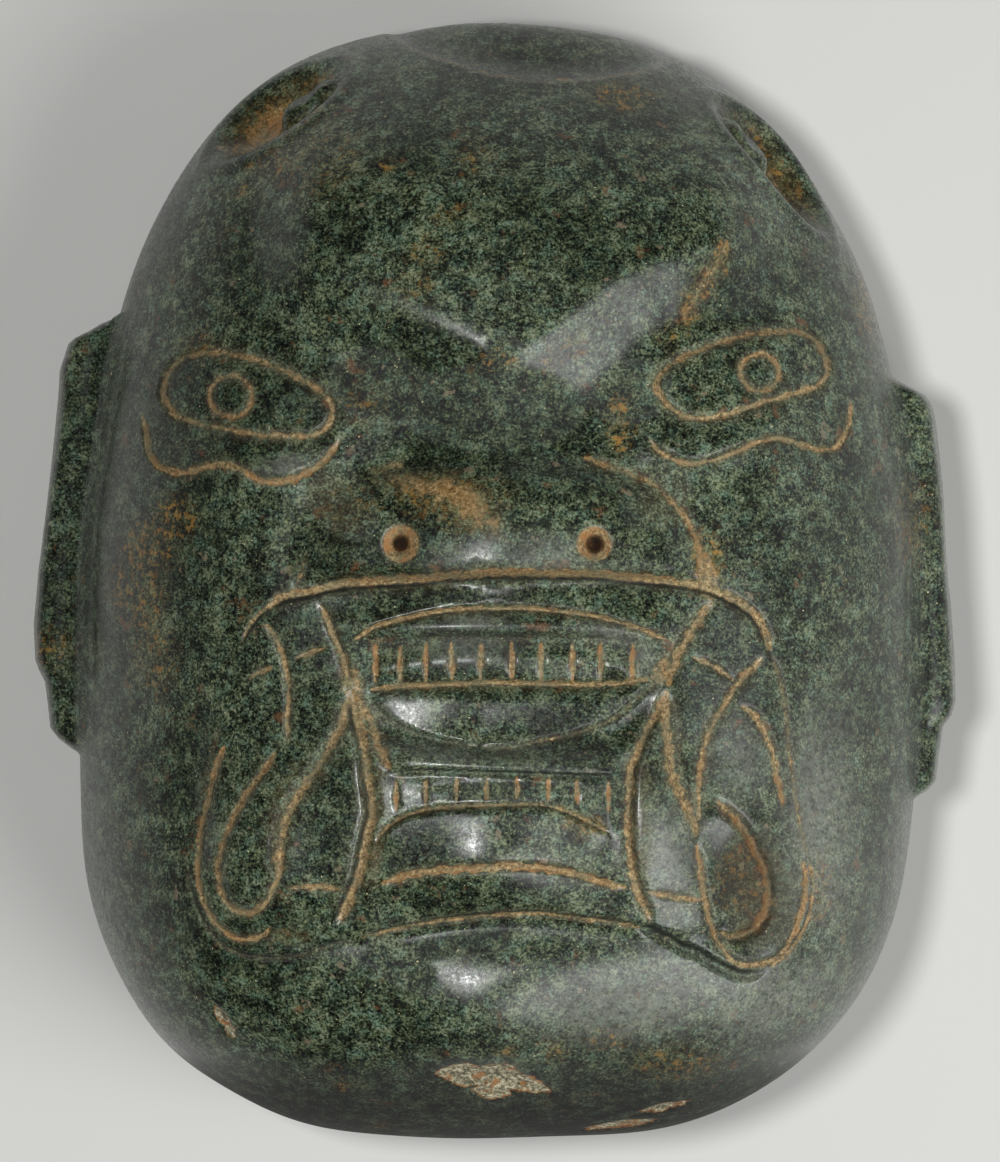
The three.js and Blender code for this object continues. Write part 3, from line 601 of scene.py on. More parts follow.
def ring_profile(t):
    """Outline share and height of the rings past the shoulder, by their running number."""
    turn = 2 / DOME_SQUARE
    start = math.asin(SHOULDER ** (1 / turn))
    dome = start + (math.pi / 2 - start) * np.clip(t / DOME_RINGS, 0, 1)
    share = np.sin(dome) ** turn
    height = WIDEST_Z + DOME_RISE * np.clip(np.cos(dome), 0, 1) ** turn
    power = 2 / WALL_SQUARE
    wall = np.clip((t - DOME_RINGS) / WALL_RINGS, 0, 1) * math.pi / 2
    on_wall = t > DOME_RINGS
    share = np.where(on_wall, RIM_OUTER + (1 - RIM_OUTER) * np.clip(np.cos(wall), 0, 1) ** power, share)
    height = np.where(on_wall, WIDEST_Z * (1 - np.sin(wall) ** power), height)
    rim = np.clip((t - RIM_START) / RIM_RINGS, 0, 1)
    on_rim = t > RIM_START
    share = np.where(on_rim, RIM_OUTER + (RIM_INNER - RIM_OUTER) * rim, share)
    height = np.where(on_rim, 0, height)
    hollow = np.clip((t - HOLLOW_START) / HOLLOW_RINGS, 0, 1) * math.pi / 2
    in_hollow = t > HOLLOW_START
    share = np.where(in_hollow, RIM_INNER * np.clip(np.cos(hollow), 0, 1) ** power, share)
    height = np.where(in_hollow, HOLLOW_RISE * np.sin(hollow) ** power, height)
    return share, height


def blank_to_head(places):
    """The plain head's x, y and z for places on the blank, and whether each is on the front."""
    u, v, t = places[:, 0], places[:, 1], -places[:, 2]
    disc_x, disc_y = disc_of(np.clip(u, -1, 1), np.clip(v, -1, 1))
    angle = np.arctan2(disc_y, disc_x)
    ring_share, ring_height = ring_profile(t)
    share = np.where(t < TINY, SHOULDER * np.hypot(disc_x, disc_y), ring_share)
    radius = share * outline_radius(angle)
    x, y = radius * np.cos(angle), FOCUS_Y + radius * np.sin(angle)
    on_front = t < DOME_RINGS
    y = np.where(on_front, y + POLE_RISE * (1 - share**2), y)
    z = np.where(on_front, dome_height(x, y), ring_height)
    return x, y, z, on_front


# Side plates that stand for the ears: outer edge by height on the face, and section from front to back
PLATES = [
    {"side": -1, "edge": [(47, 66), (45.5, 68), (43, 73.7), (37.8, 76.4), (28, 78.3), (18, 80), (9, 81.4),
                          (1.8, 82.3), (-8, 82.8), (-14.4, 82.4), (-16.5, 81.6), (-18.2, 80.7), (-22, 80.3),
                          (-26.6, 80), (-28.5, 78.6), (-30.5, 76), (-33, 72)]},
    {"side": 1, "edge": [(37, 70), (35.4, 73), (33.5, 77), (31.5, 78.6), (28.8, 79.3), (21, 80.3),
                         (14.4, 81.1), (3.6, 82), (-4, 82.6), (-12.6, 82.8), (-22, 82.8), (-24.5, 82.0),
                         (-26.2, 80.6), (-31, 80), (-36, 79.5), (-37.7, 78.2), (-39, 76), (-42, 72)]},
]
PLATE_SECTION = [(56, 0), (50, 0), (46, 0.1), (43.6, 0.22), (42.5, 0.4), (41.8, 0.7), (41, 0.92), (39.5, 1),
                 (36, 1), (28, 1), (18, 1), (14, 1), (11.6, 0.93), (10.2, 0.75), (8.6, 0.25), (6.5, 0.05),
                 (4, 0), (2, 0)]
PLATE_TOP_Z = PLATE_SECTION[0][0]
PLATE_LOW_Z = PLATE_SECTION[-1][0]
PLATE_REACH = 9.0
# The head's side where the plates stand: its half width, and how far in they may start
SIDE_HALF = 75
SIDE_X = 74
PLATE_INNER_X = 40
PLATE_BLEND = 3


def section_curve():
    """Height and reach along the plate's section, by the share of its length."""
    section = np.array(PLATE_SECTION, dtype=float)
    run = np.hypot(np.diff(section[:, 0]), PLATE_REACH * np.diff(section[:, 1]))
    along = np.concatenate([[0], np.cumsum(run)])
    return along / along[-1], section[:, 0], section[:, 1]


def wall_share(z):
    """Outline share of the head's side at a height."""
    above = np.clip((z - WIDEST_Z) / DOME_RISE, 0, 1)
    below = np.clip((WIDEST_Z - z) / WIDEST_Z, 0, 1)
    upper = (1 - above**DOME_SQUARE) ** (1 / DOME_SQUARE)
    lower = RIM_OUTER + (1 - RIM_OUTER) * (1 - below**WALL_SQUARE) ** (1 / WALL_SQUARE)
    return np.where(z > WIDEST_Z, upper, lower)


def add_plates(x, y, z, outside):
    """Draws the side plates out of the head's wall."""
    along, heights, reaches = section_curve()
    for plate in PLATES:
        edge = np.array(plate["edge"][::-1], dtype=float)
        head = np.abs(outline_radius(np.arctan2(y - FOCUS_Y, plate["side"] * SIDE_X)))
        head_x = np.sqrt(np.maximum(head**2 - (y - FOCUS_Y) ** 2, 0))
        width = np.interp(y, edge[:, 0], edge[:, 1], left=0, right=0) - head_x
        on_side = outside & (np.sign(x) == plate["side"]) & (np.abs(x) > PLATE_INNER_X)
        width = np.where(on_side, np.maximum(width, 0), 0)
        inside = (width > 0) & (z < PLATE_TOP_Z) & (z > PLATE_LOW_Z)
        held = smoothstep(0, PLATE_BLEND, width)
        place = (PLATE_TOP_Z - z) / (PLATE_TOP_Z - PLATE_LOW_Z)
        new_z = z + (np.interp(place, along, heights) - z) * held
        shift = (wall_share(new_z) - wall_share(z)) * SIDE_HALF + width * np.interp(place, along, reaches)
        x = np.where(inside, x + plate["side"] * shift, x)
        z = np.where(inside, new_z, z)
    return x, y, z


# Crown cleft: a steep step down behind the lip where the forehead ends, and the hump behind it
CLEFT = {"middle_x": 10, "lip_y": 89.3, "left_sag": 0.0099, "right_sag": 0.0063, "undercut": 0.6, "depth": 9,
         "floor": 5, "reach": 28, "low_y": 50, "left_end": (-21, -13), "right_end": (25, 34)}
LIP_TOP_Y = 99.5
# Bands along the lip: a painted highlight on its edge, laid in as pale dirt, and the painted shade behind it
LIP_LOW_Y = 80
LIP_PAINTED_HIGHLIGHT = {"behind": 0, "reach": 0.9, "strength": 0.85}
LIP_SHADE = {"behind": 2.8, "reach": 1.3, "strength": 0.8}


def lip_line(x):
    """How far up the lip of the cleft lies."""
    sag = np.where(x < CLEFT["middle_x"], CLEFT["left_sag"], CLEFT["right_sag"])
    return np.minimum(CLEFT["lip_y"] + sag * (x - CLEFT["middle_x"]) ** 2, LIP_TOP_Y)


def lip_height(x):
    return dome_height(x, lip_line(x))


def cleft_ends(x):
    return smoothstep(*CLEFT["left_end"], x) * (1 - smoothstep(*CLEFT["right_end"], x))


def cleft_sink(x, y, z):
    """How far the stone behind the lip is cut back towards the face."""
    behind = lip_height(x) - z
    past = np.clip(y - lip_line(x) + CLEFT["undercut"], 0, CLEFT["depth"])
    sink = past * cleft_ends(x) * (1 - smoothstep(CLEFT["floor"], CLEFT["reach"], behind))
    return np.where((y > CLEFT["low_y"]) & (behind > 0), sink, 0)


def lip_band(x, y, z, band):
    """Strength of a band that follows the lip of the cleft."""
    off = lip_height(x) - z - band["behind"]
    strength = band["strength"] * np.exp(-(off / band["reach"]) ** 2) * cleft_ends(x)
    return np.where(y > LIP_LOW_Y, strength, 0)


# Hollowed ears at the crown: a scooped hollow, the tongue left standing in it and the soil held there
CROWN_EARS = [
    {"place": (-37, 80.5), "drop": 9, "hollow": (15, 10.5), "depth": 5.0, "tongue": (-5.5, 7.5, 3.4, 3.8),
     "soil": 0.6},
    {"place": (48, 72.5), "drop": 8, "hollow": (16, 9.5), "depth": 4.6, "tongue": (5.5, 7.5, 3.4, 3.5),
     "soil": 0.4},
]
EAR_REACH = 40
EAR_THICK = 22
EAR_BOWL = (0.45, 1.0)
EAR_RIM = {"rise": 0.5, "ring": 1.08, "width": 0.12}
EAR_TONGUE = (0.5, 1.05)
EAR_TONGUE_UP = 2.2
EAR_STAIN = (0.5, 0.95)
EAR_CLEAN_TONGUE = (0.7, 1.1)


def ear_plane(points, normals, ear):
    """How far points lie across and down the plane at an ear, and which of them are near it."""
    x, y = ear["place"]
    start = np.array([x, y, float(dome_height(np.array(x), np.array(y)))])
    normal = normals[int(np.argmin(np.linalg.norm(points - start, axis=1)))]
    across = np.array([-normal[1], normal[0], 0])
    across /= np.linalg.norm(across)
    down = np.cross(normal, across)
    if down[2] > 0:
        down = -down
    offset = points - start
    close = (np.linalg.norm(offset, axis=1) < EAR_REACH) & (offset @ normal > -EAR_THICK)
    return offset @ across, offset @ down - ear["drop"], close


def ear_marks(points, normals, ear):
    """Displacement along the normal, and the stain, of one hollowed ear."""
    u, v, close = ear_plane(points, normals, ear)
    ring = np.sqrt((u / ear["hollow"][0]) ** 2 + (v / ear["hollow"][1]) ** 2)
    bowl = (1 - smoothstep(*EAR_BOWL, ring)) * ear["depth"]
    rim = EAR_RIM["rise"] * np.exp(-((ring - EAR_RIM["ring"]) / EAR_RIM["width"]) ** 2)
    middle, half_long, half_wide, rise = ear["tongue"]
    tongue = np.sqrt(((u - middle) / half_long) ** 2 + ((v + EAR_TONGUE_UP) / half_wide) ** 2)
    left_standing = rise * (1 - smoothstep(*EAR_TONGUE, tongue))
    shift = -bowl + rim + np.minimum(left_standing, bowl)
    stain = (1 - smoothstep(*EAR_STAIN, ring)) * smoothstep(*EAR_CLEAN_TONGUE, tongue)
    return np.where(close, shift, 0), np.where(close, stain, 0)


# Facets of the chips: middle, radii, turn, depth and how pale the broken stone is
CHIPS = [
    ((-5.0, -87.2), (4.8, 1.9), -6, 0.7, 1.0), ((1.5, -87.6), (4.6, 2.3), -16, 0.9, 1.0),
    ((5.6, -88.6), (4.2, 1.4), -20, 0.6, 1.0), ((-0.5, -90.2), (3.2, 1.3), -8, 0.5, 0.9),
    ((29.5, -93.4), (4.2, 0.8), 14, 0.5, 0.5), ((33.0, -92.5), (1.6, 0.5), 10, 0.4, 0.5),
    ((23.0, -96.9), (6.5, 0.8), 9, 0.7, 0.5), ((18.0, -97.8), (2.5, 0.5), 4, 0.5, 0.5),
    ((-48.0, -77.0), (0.9, 2.4), 32, 0.3, 0.8), ((-46.6, -79.4), (0.8, 1.6), 24, 0.3, 0.8),
]
# Iron stains: middle, radii, turn and strength
STAINS = [
    ((-4, 74), (2.5, 3), 0, 0.6), ((23, 86), (5, 2.5), 0, 1.0), ((-39.5, 73.5), (4.5, 1.2), 0, 1.0),
    ((-19, 73), (1.5, 1.5), 0, 0.9), ((-45, 69), (1.5, 1), 0, 0.8), ((-7, 64), (3, 2), 0, 0.5),
    ((-12, 57), (4, 3), 0, 0.4), ((-14, 51), (3, 3), 0, 0.4), ((0, 38.5), (3.5, 1.5), 0, 0.9),
    ((10, 38), (2, 2), 0, 0.7), ((14, 41), (2, 2), 0, 0.6), ((-23, 31), (4, 3), 0, 0.4),
    ((22, 27), (2.5, 5), 0, 0.8), ((-56, 11), (4, 4), 0, 0.9), ((-61, 6), (5, 5), 0, 0.8),
    ((-61, -5), (3, 9), 0, 0.75), ((-66, -1), (3, 5), 0, 0.7), ((-60, -14), (4, 6), 0, 0.6),
    ((-7, 14), (10, 4), 0, 0.4), ((-76, -12), (3, 5), 0, 0.7), ((67, 50), (3, 7), 0, 0.6),
    ((-27, -89), (2, 1.2), 0, 1.0), ((-20, -97), (2.5, 1), 0, 0.9), ((57.5, -54), (1.5, 6), 0, 0.8),
    ((37.5, 3), (3, 6), 0, 0.8), ((43, -53), (5, 6), 0, 0.5), ((-25, 14), (6, 4), 0, 0.3),
    ((-32, 75), (9, 8), 0, 0.3), ((73, 10), (2, 8), 0, 0.4), ((-52, 41.5), (4, 2), 0, 0.5),
    ((16, -43), (4, 2), 0, 0.5), ((-13, 16), (5, 2.5), 0, 0.9), ((-5, 13), (4, 4), 0, 0.9),
    ((40, 57), (1.8, 3.5), 0, 0.8), ((37, 52), (1.8, 3), 0, 0.7), ((34, 47), (1.8, 4), 0, 0.7),
    ((31, 42.5), (1.6, 3), 0, 0.6), ((11, -82.5), (2, 1.5), 0, 0.9), ((20, -80.5), (4, 2), 0, 0.7),
    ((32, -85), (8, 3), 0, 0.7), ((2, -82.5), (2, 1), 0, 0.6),
]
# Tan soil left in sheltered places: middle, radii, turn and strength
SOIL = [
    ((46, -54), (6, 11), 8, 0.3), ((-25, -18), (2.2, 4.6), 20, 0.6), ((-20.5, -42), (1.8, 12), -4, 0.35),
    ((-19.5, 18.5), (3, 1.6), -15, 0.4), ((-28, 13), (4, 7), 40, 0.2), ((37.5, 0.5), (2, 4.5), 5, 0.6),
    ((30, 14), (5, 5), -40, 0.2), ((-14.5, 16.8), (4.5, 2.2), -10, 0.6),
    ((-8.5, 15.6), (4.8, 2.8), -15, 0.72), ((-3.8, 12.6), (4.2, 3.2), -45, 0.8),
    ((0, 9.6), (3, 1.8), -40, 0.72), ((-37, -39), (2.2, 8), -22, 0.3),
    ((25.5, -42), (2.2, 14), 0, 0.28), ((31, -27), (2, 8), 4, 0.3), ((-23, -40), (1.6, 10), 0, 0.28),
    ((16, -43), (4, 2), -20, 0.3), ((-36, -62.5), (5, 1.6), 0, 0.28), ((29, -16), (1.6, 4), -20, 0.5),
]
# Places left matt by the grinding: middle, radii, turn and strength
MATT = [
    ((0, 30), (17, 9), 0, 1), ((-20, 34), (10, 7), -20, 1), ((24, 33), (8, 6), 20, 1),
    ((-27, 14), (6, 9), 40, 1), ((28, 15), (6, 8), -40, 1), ((-24, -13), (3, 7), 10, 1),
    ((21.5, -38), (1.8, 7), 0, 1), ((2, -36.6), (17, 1.6), 0, 1), ((28, -14), (3, 7), -10, 1),
    ((46, -54), (8, 12), 8, 1),
    ((8, 2.4), (26, 1.3), 0, 1), ((1.5, 41), (4, 3), -20, 1), ((-9, -64.3), (18, 2.6), 8, 1),
    ((-16, -67.5), (8, 4), -35, 1),
]
# Painted sheen: pale highlights and reflections painted on the polish: middle, radii, turn and strength
PAINTED_SHEEN = [
    ((57.5, -43), (7, 22), 0, 0.58), ((48, -74), (14, 6.5), 25, 0.55), ((31, -48), (5, 10), 5, 0.42),
    ((43, -33), (6, 7), 0, 0.42), ((-16, -23), (5, 2.6), -10, 0.4), ((24, -75), (17, 7), 5, 0.55),
    ((9, 5), (8, 3), 0, 0.4), ((-7, 4), (5, 2.5), 0, 0.25), ((-36, 20.5), (4.5, 1.6), 15, 0.5),
    ((-5, -12.5), (8, 2.5), 0, 0.35), ((-4, -7.2), (6, 1.3), 0, 0.4), ((21, -9.5), (6, 2), -10, 0.35),
    ((25.5, -13.5), (3, 3), 0, 0.35), ((-9, -30.3), (10, 1.8), -8, 0.35), ((4, -31), (16, 2.5), 0, 0.2),
]
# Darker towards the chin end, and painted shade in the hollow at the right corner of the mouth
DARKER_CHIN_FADE = (-96, -76)
DARKER_CHIN_SHARE = 0.95
RECESS_SHADE = [((45, -54), (7, 12), 8, 0.45)]

PATCH_EDGE = (0.6, 1.3)
FACET_EDGE = (0.5, 1.5)
FACET_POINT = 1.3


def patch(x, y, centre, radii, turn):
    """1 well inside an oval patch, fading to 0 outside it."""
    return 1 - smoothstep(*PATCH_EDGE, np.hypot(*turned(x, y, centre, radii, turn)))


def facet(x, y, centre, radii, turn):
    """1 on a broken facet with pointed ends, falling to 0 outside it."""
    u, v = np.abs(turned(x, y, centre, radii, turn))
    return 1 - smoothstep(*FACET_EDGE, (u**FACET_POINT + v**FACET_POINT) ** (1 / FACET_POINT))


def strongest(x, y, outside, places, form=patch):
    """The strongest of some places of one form on the outside of the stone."""
    found = np.zeros(x.shape)
    for centre, radii, turn, strength in places:
        found = np.maximum(found, strength * np.where(outside, form(x, y, centre, radii, turn), 0))
    return found


def hand_waver(x, y, z):
    """The slight unevenness of a surface ground by hand: waves of 30 to 70 mm, half a millimetre high."""
    return (0.22 * np.sin(x / 9.1 + 1.3) * np.sin(y / 11.7 + 0.4) + 0.16 * np.sin(x / 5.3 - y / 7.9 + 2.1)
            + 0.14 * np.sin(y / 5.9 + z / 8.3 + 0.7))


# Working on the mesh
def activate(piece):
    bpy.ops.object.select_all(action="DESELECT")
    piece.select_set(True)
    bpy.context.view_layer.objects.active = piece


def edit_faces(piece, picked):
    """Goes into edit mode with just these faces selected."""
    activate(piece)
    bpy.context.tool_settings.mesh_select_mode = (False, False, True)
    bpy.ops.object.mode_set(mode="EDIT")
    bpy.ops.mesh.select_all(action="DESELECT")
    bpy.ops.object.mode_set(mode="OBJECT")
    piece.data.polygons.foreach_set("select", picked)
    bpy.ops.object.mode_set(mode="EDIT")


def read_vectors(items, name):
    """One vector of every item of a mesh, as rows of three."""
    values = np.empty(3 * len(items))
    items.foreach_get(name, values)
    return values.reshape(-1, 3)


def write_places(piece, places):
    piece.data.vertices.foreach_set("co", places.astype(np.float32).ravel())
    piece.data.update()


def store(piece, name, values):
    """Keeps a value at every vertex for the material."""
    layer = piece.data.attributes.new(name, "FLOAT", "POINT")
    layer.data.foreach_set("value", values.astype(np.float32))


def stone_blank():
    """A grid with rings extruded from its edge, closed at the back: the mask's skin before it is shaped."""
    bpy.ops.object.select_all(action="DESELECT")
    bpy.ops.mesh.primitive_grid_add(x_subdivisions=GRID_ACROSS, y_subdivisions=GRID_ALONG, size=2)
    blank = bpy.context.object
    bpy.context.tool_settings.mesh_select_mode = (False, True, False)
    bpy.ops.object.mode_set(mode="EDIT")
    bpy.ops.mesh.select_all(action="DESELECT")
    bpy.ops.mesh.select_non_manifold(extend=False)
    for _ in range(HOLLOW_START + HOLLOW_RINGS):
        bpy.ops.mesh.extrude_edges_move(TRANSFORM_OT_translate={"value": (0, 0, -1)})
    bpy.ops.mesh.merge(type="CENTER")
    bpy.ops.mesh.select_all(action="SELECT")
    bpy.ops.mesh.normals_make_consistent(inside=False)
    bpy.ops.object.mode_set(mode="OBJECT")
    return blank


# Where the blank gets finer faces
LINE_MARGINS = (1.8, 0.5)
FINE_LIP = {"middle_x": 7, "half": 34, "above": 4, "low_z": WIDEST_Z - 2}
FINE_EARS = [((-40, 83), 22), ((52, 74), 24)]
FINE_EARS_LOW_Z = WIDEST_Z - 4
FINE_PLATES = {"inner_x": 60, "y": (-44, 48), "z": (4, 52)}
CHIP_MARGIN = 1
CHIP_LOW_Z = 2
PATCH_TRACE = 0.01


def refine(piece, wanted):
    """Splits each face that is wanted in four, by the place that its middle has on the head."""
    x, y, z, on_front = blank_to_head(read_vectors(piece.data.polygons, "center"))
    edit_faces(piece, wanted(x, y, z, on_front))
    bpy.ops.mesh.subdivide(number_cuts=1, ngon=False)
    bpy.ops.object.mode_set(mode="OBJECT")


def near_lines(lines, margin):
    def wanted(x, y, z, on_front):
        close = np.zeros(x.shape, dtype=bool)
        for line in lines:
            near, _, _ = distance_to(line["curve"], x, y, margin + 1)
            close |= near < margin + line["width"] / 2
        for nostril in NOSTRILS:
            from_middle = np.hypot(x - nostril["centre"][0], y - nostril["centre"][1])
            close |= from_middle < nostril["cone"] + margin
        return close & on_front
    return wanted


def near_crown_and_plates(x, y, z, on_front):
    close = (y > LIP_LOW_Y) & (np.abs(x - FINE_LIP["middle_x"]) < FINE_LIP["half"])
    close &= (z < lip_height(x) + FINE_LIP["above"]) & (z > FINE_LIP["low_z"])
    for (middle_x, middle_y), reach in FINE_EARS:
        close |= (np.hypot(x - middle_x, y - middle_y) < reach) & (z > FINE_EARS_LOW_Z)
    on_plate = np.abs(x) > FINE_PLATES["inner_x"]
    for place, (low, high) in ((y, FINE_PLATES["y"]), (z, FINE_PLATES["z"])):
        on_plate &= (place > low) & (place < high)
    return close | on_plate


def near_chips(x, y, z, on_front):
    close = np.zeros(x.shape, dtype=bool)
    for centre, (long, wide), turn, _, _ in CHIPS:
        close |= patch(x, y, centre, (long + CHIP_MARGIN, wide + CHIP_MARGIN), turn) > PATCH_TRACE
    return close & (z > CHIP_LOW_Z)


# The carving fades out towards the outline of the face, and the hand's waver towards the back rim
FACE_END = (0.93, 0.995)
WAVER_START = (3, 20)


def shape_stone(piece, lines):
    """Places every vertex of the blank on the carved mask and keeps what its material needs."""
    blank = read_vectors(piece.data.vertices, "co")
    x, y, z, on_front = blank_to_head(blank)
    outside = -blank[:, 2] < RIM_START
    plain = np.column_stack([x, y, z])
    write_places(piece, plain)
    normals = read_vectors(piece.data.vertex_normals, "vector")
    face = np.where(on_front, 1 - smoothstep(*FACE_END, outline_share(x, y)), 0)
    marks = line_marks(x, y, lines)
    nostrils = nostril_marks(x, y)
    ears = [(ear, *ear_marks(plain, normals, ear)) for ear in CROWN_EARS]
    broken = strongest(x, y, outside, [(*place, depth) for *place, depth, _ in CHIPS], facet)

    shaped = plain.copy()
    shaped[:, 2] += (face_relief(x, y) + marks["step"] - marks["cut"] - nostrils["cut"]) * face
    waver = np.where(outside, hand_waver(x, y, z), 0) * smoothstep(*WAVER_START, z)
    shaped += normals * waver[:, None]
    shaped[:, 1] -= np.where(outside, cleft_sink(x, y, z), 0)
    for _, shift, _ in ears:
        shaped += normals * np.where(outside, shift, 0)[:, None]
    shaped -= normals * broken[:, None]
    write_places(piece, np.column_stack(add_plates(*shaped.T, outside)) * MM)
    store_marks(piece, plain, outside, face, marks, nostrils, ears)


# How strongly the nostrils' stain and the soil show as dirt and as rust
NOSTRIL_DIRT = 0.85
NOSTRIL_RUST = 0.8
EAR_RUST = 1.2
SOIL_RUST = 0.4


def store_marks(piece, plain, outside, face, marks, nostrils, ears):
    """Keeps the dirt, rust, stains, painted shade, painted sheen, darkening, matt places and chips at every
    vertex.
    """
    x, y, z = plain.T
    stain = strongest(x, y, outside, STAINS)
    ear_soil = np.zeros(x.shape)
    for ear, _, ear_stain in ears:
        stain = np.maximum(stain, ear_stain)
        ear_soil = np.maximum(ear_soil, np.where(outside, ear["soil"] * ear_stain, 0))
    # The painted highlight on the lip's edge goes in with the tan soil, and so into the dirt colour
    lip_highlight = np.where(outside, lip_band(x, y, z, LIP_PAINTED_HIGHLIGHT), 0)
    soil = np.maximum(lip_highlight, strongest(x, y, outside, SOIL))
    lip_shade = np.where(outside, lip_band(x, y, z, LIP_SHADE), 0)
    darker_chin_end = np.where(outside, DARKER_CHIN_SHARE * (1 - smoothstep(*DARKER_CHIN_FADE, y)), 0)
    matt = np.maximum(strongest(x, y, outside, MATT), darker_chin_end)
    darkening = np.maximum(darker_chin_end, strongest(x, y, outside, RECESS_SHADE))
    dirt = np.maximum(marks["residue"], NOSTRIL_DIRT * nostrils["stain"]) * face
    rust = np.maximum(marks["rust"], NOSTRIL_RUST * nostrils["stain"])
    store(piece, "residue", np.maximum(dirt, np.maximum(soil, ear_soil)))
    store(piece, "rust", np.maximum(rust, np.maximum(EAR_RUST * ear_soil, SOIL_RUST * soil)))
    # Painted sheen: where highlights and reflections are painted as colour
    store(piece, "painted_sheen", strongest(x, y, outside, PAINTED_SHEEN, swelling))
    # Painted shade: on the bare walls of the cuts, in the dark shadow lines and behind the lip of the cleft
    store(piece, "shade", np.maximum(marks["shade"] * face, lip_shade))
    # Darkening: painted shade in the nostril holes and the hollow beside the mouth, and darker towards the
    # chin end
    store(piece, "darkening", np.maximum(darkening, nostrils["hole_shade"] * face))
    store(piece, "dull", np.maximum(np.maximum(marks["dull"], nostrils["stain"]) * face, matt))
    store(piece, "stain", stain)
    store(piece, "chip", strongest(x, y, outside, [(*place, pale) for *place, _, pale in CHIPS], facet))


def carved_stone():
    """The whole mask: one piece that stands for the solid of the frame."""
    lines = carved_lines()
    piece = stone_blank()
    piece.name = "carved_stone_mask"
    piece.data.name = "carved_stone_mask"
    for margin in LINE_MARGINS:
        refine(piece, near_lines(lines, margin))
    refine(piece, near_crown_and_plates)
    refine(piece, near_chips)
    shape_stone(piece, lines)
    piece.data.polygons.foreach_set("use_smooth", [True] * len(piece.data.polygons))
    return piece


# Materials
def linear(hex_colour):
    """An sRGB hex colour as linear light."""
    parts = [int(hex_colour[i:i + 2], 16) / 255 for i in (1, 3, 5)]
    return [c / 12.92 if c <= 0.04045 else ((c + 0.055) / 1.055) ** 2.4 for c in parts] + [1.0]


def add_node(tree, kind, settings=None, inputs=None, stops=()):
    """Adds one node: its settings, its inputs by their identifiers, each a link, a hex colour or a value,
    and the stops of a ramp."""
    node = tree.nodes.new(kind)
    for name, value in (settings or {}).items():
        setattr(node, name, value)
    sockets = {socket.identifier: socket for socket in node.inputs}
    for name, value in (inputs or {}).items():
        if isinstance(value, bpy.types.NodeSocket):
            tree.links.new(value, sockets[name])
        else:
            sockets[name].default_value = linear(value) if isinstance(value, str) else value
    # A new ramp has two stops
    for _ in stops[2:]:
        node.color_ramp.elements.new(0.5)
    for i, (place, colour) in enumerate(stops):
        node.color_ramp.elements[i].position = place
        node.color_ramp.elements[i].color = linear(colour)
    return node


def empty_material(name):
    material = bpy.data.materials.new(name)
    material.use_nodes = True
    material.node_tree.nodes.clear()
    return material, material.node_tree


# Patterns in the stone: grain size in millimetres, detail, roughness and how many metres it is moved
# aside, so that no two fall together. Where four more numbers follow, the noise between the first two
# becomes a share between the last two. The finest are drawn a little coarser than the real grit, to show.
PATTERNS = {
    "clots": (3.6, 2, 0.5, 0.9),
    "grains": (1.5, 4, 0.75, 0),
    "pepper": (0.5, 3, 0.8, 0.2),
    "blue-green": (2.2, 4, 0.7, 0.5, 0.46, 0.6, 0, 0.45),
    "olive": (3.1, 5, 0.7, 0.4, 0.5, 0.64, 0, 0.4),
    "clouds": (20, 3, 0.55, 0, 0.42, 0.6, 0, 0.5),
    "black blots": (3.0, 4, 0.65, 1.3, 0.57, 0.66, 0, 0.75),
    "ruddy blots": (5.5, 5, 0.65, 0.6, 0.62, 0.7, 0, 0.55),
    "beige blots": (3.6, 5, 0.6, 1.7, 0.66, 0.7, 0, 0.6),
    "glints": (0.62, 1, 0.5, 2.1, 0.77, 0.8, 0, 0.9),
    "iron spots": (1.5, 5, 0.75, 0.3, 0.51, 0.62, 0, 1),
    "painted_sheen": (1.2, 4, 0.7, 2.6, 0.35, 0.6, 0.4, 1),
    "tan dirt": (0.7, 5, 0.85, 0.7),
    "grey dirt": (6, 3, 0.6, 1.5, 0.44, 0.6, 0, 0.5),
    "rusty dirt": (5, 3, 0.6, 0.1, 0.4, 0.6, 0, 1),
    "uneven dirt": (5, 3, 0.6, 0.25),
    "dirt fringe": (0.8, 5, 0.85, 0.15),
    "darkening spots": (5, 5, 0.7, 3.1, 0.36, 0.62, 0.65, 1),
    "chip edge": (1.8, 4, 0.7, 1.1),
    "broken grains": (0.8, 4, 0.8, 0.8),
    "rusty chip": (3.2, 4, 0.6, 1.9, 0.53, 0.62, 0, 0.75),
    "polish": (0.8, 4, 0.75, 0.45, 0.3, 0.7, 0.2, 0.42),
    "pits": (0.7, 4, 0.75, 0.35),
}
MARKS = ("residue", "rust", "painted_sheen", "shade", "darkening", "dull", "stain", "chip")
# The grain of the stone: how much each of its noises counts, its colours and what lies over them
GRAIN_WEIGHTS = {"clots": 0.1764, "grains": 0.294, "pepper": 0.5292}
GRAIN_COLOURS = [(0.425, "#020301"), (0.452, "#10150d"), (0.475, "#283020"), (0.502, "#3d4833"),
                 (0.525, "#505b43"), (0.552, "#677157"), (0.59, "#818970")]
GRAIN_LAYERS = [("blue-green", "#44665a", "COLOR"), ("olive", "#586040", "COLOR"),
                ("clouds", "#3c4640", "SOFT_LIGHT"), ("black blots", "#080c07", "MIX"),
                ("ruddy blots", "#6e4a2e", "MIX"), ("beige blots", "#857862", "MIX"),
                ("glints", "#cfc79c", "MIX")]
TAN_COLOURS = [(0.38, "#3a3321"), (0.46, "#72603f"), (0.54, "#a38b60"), (0.64, "#ccb788")]
BROKEN_COLOURS = [(0.36, "#26241a"), (0.47, "#6a6650"), (0.56, "#a39c80"), (0.66, "#d3cbb2")]
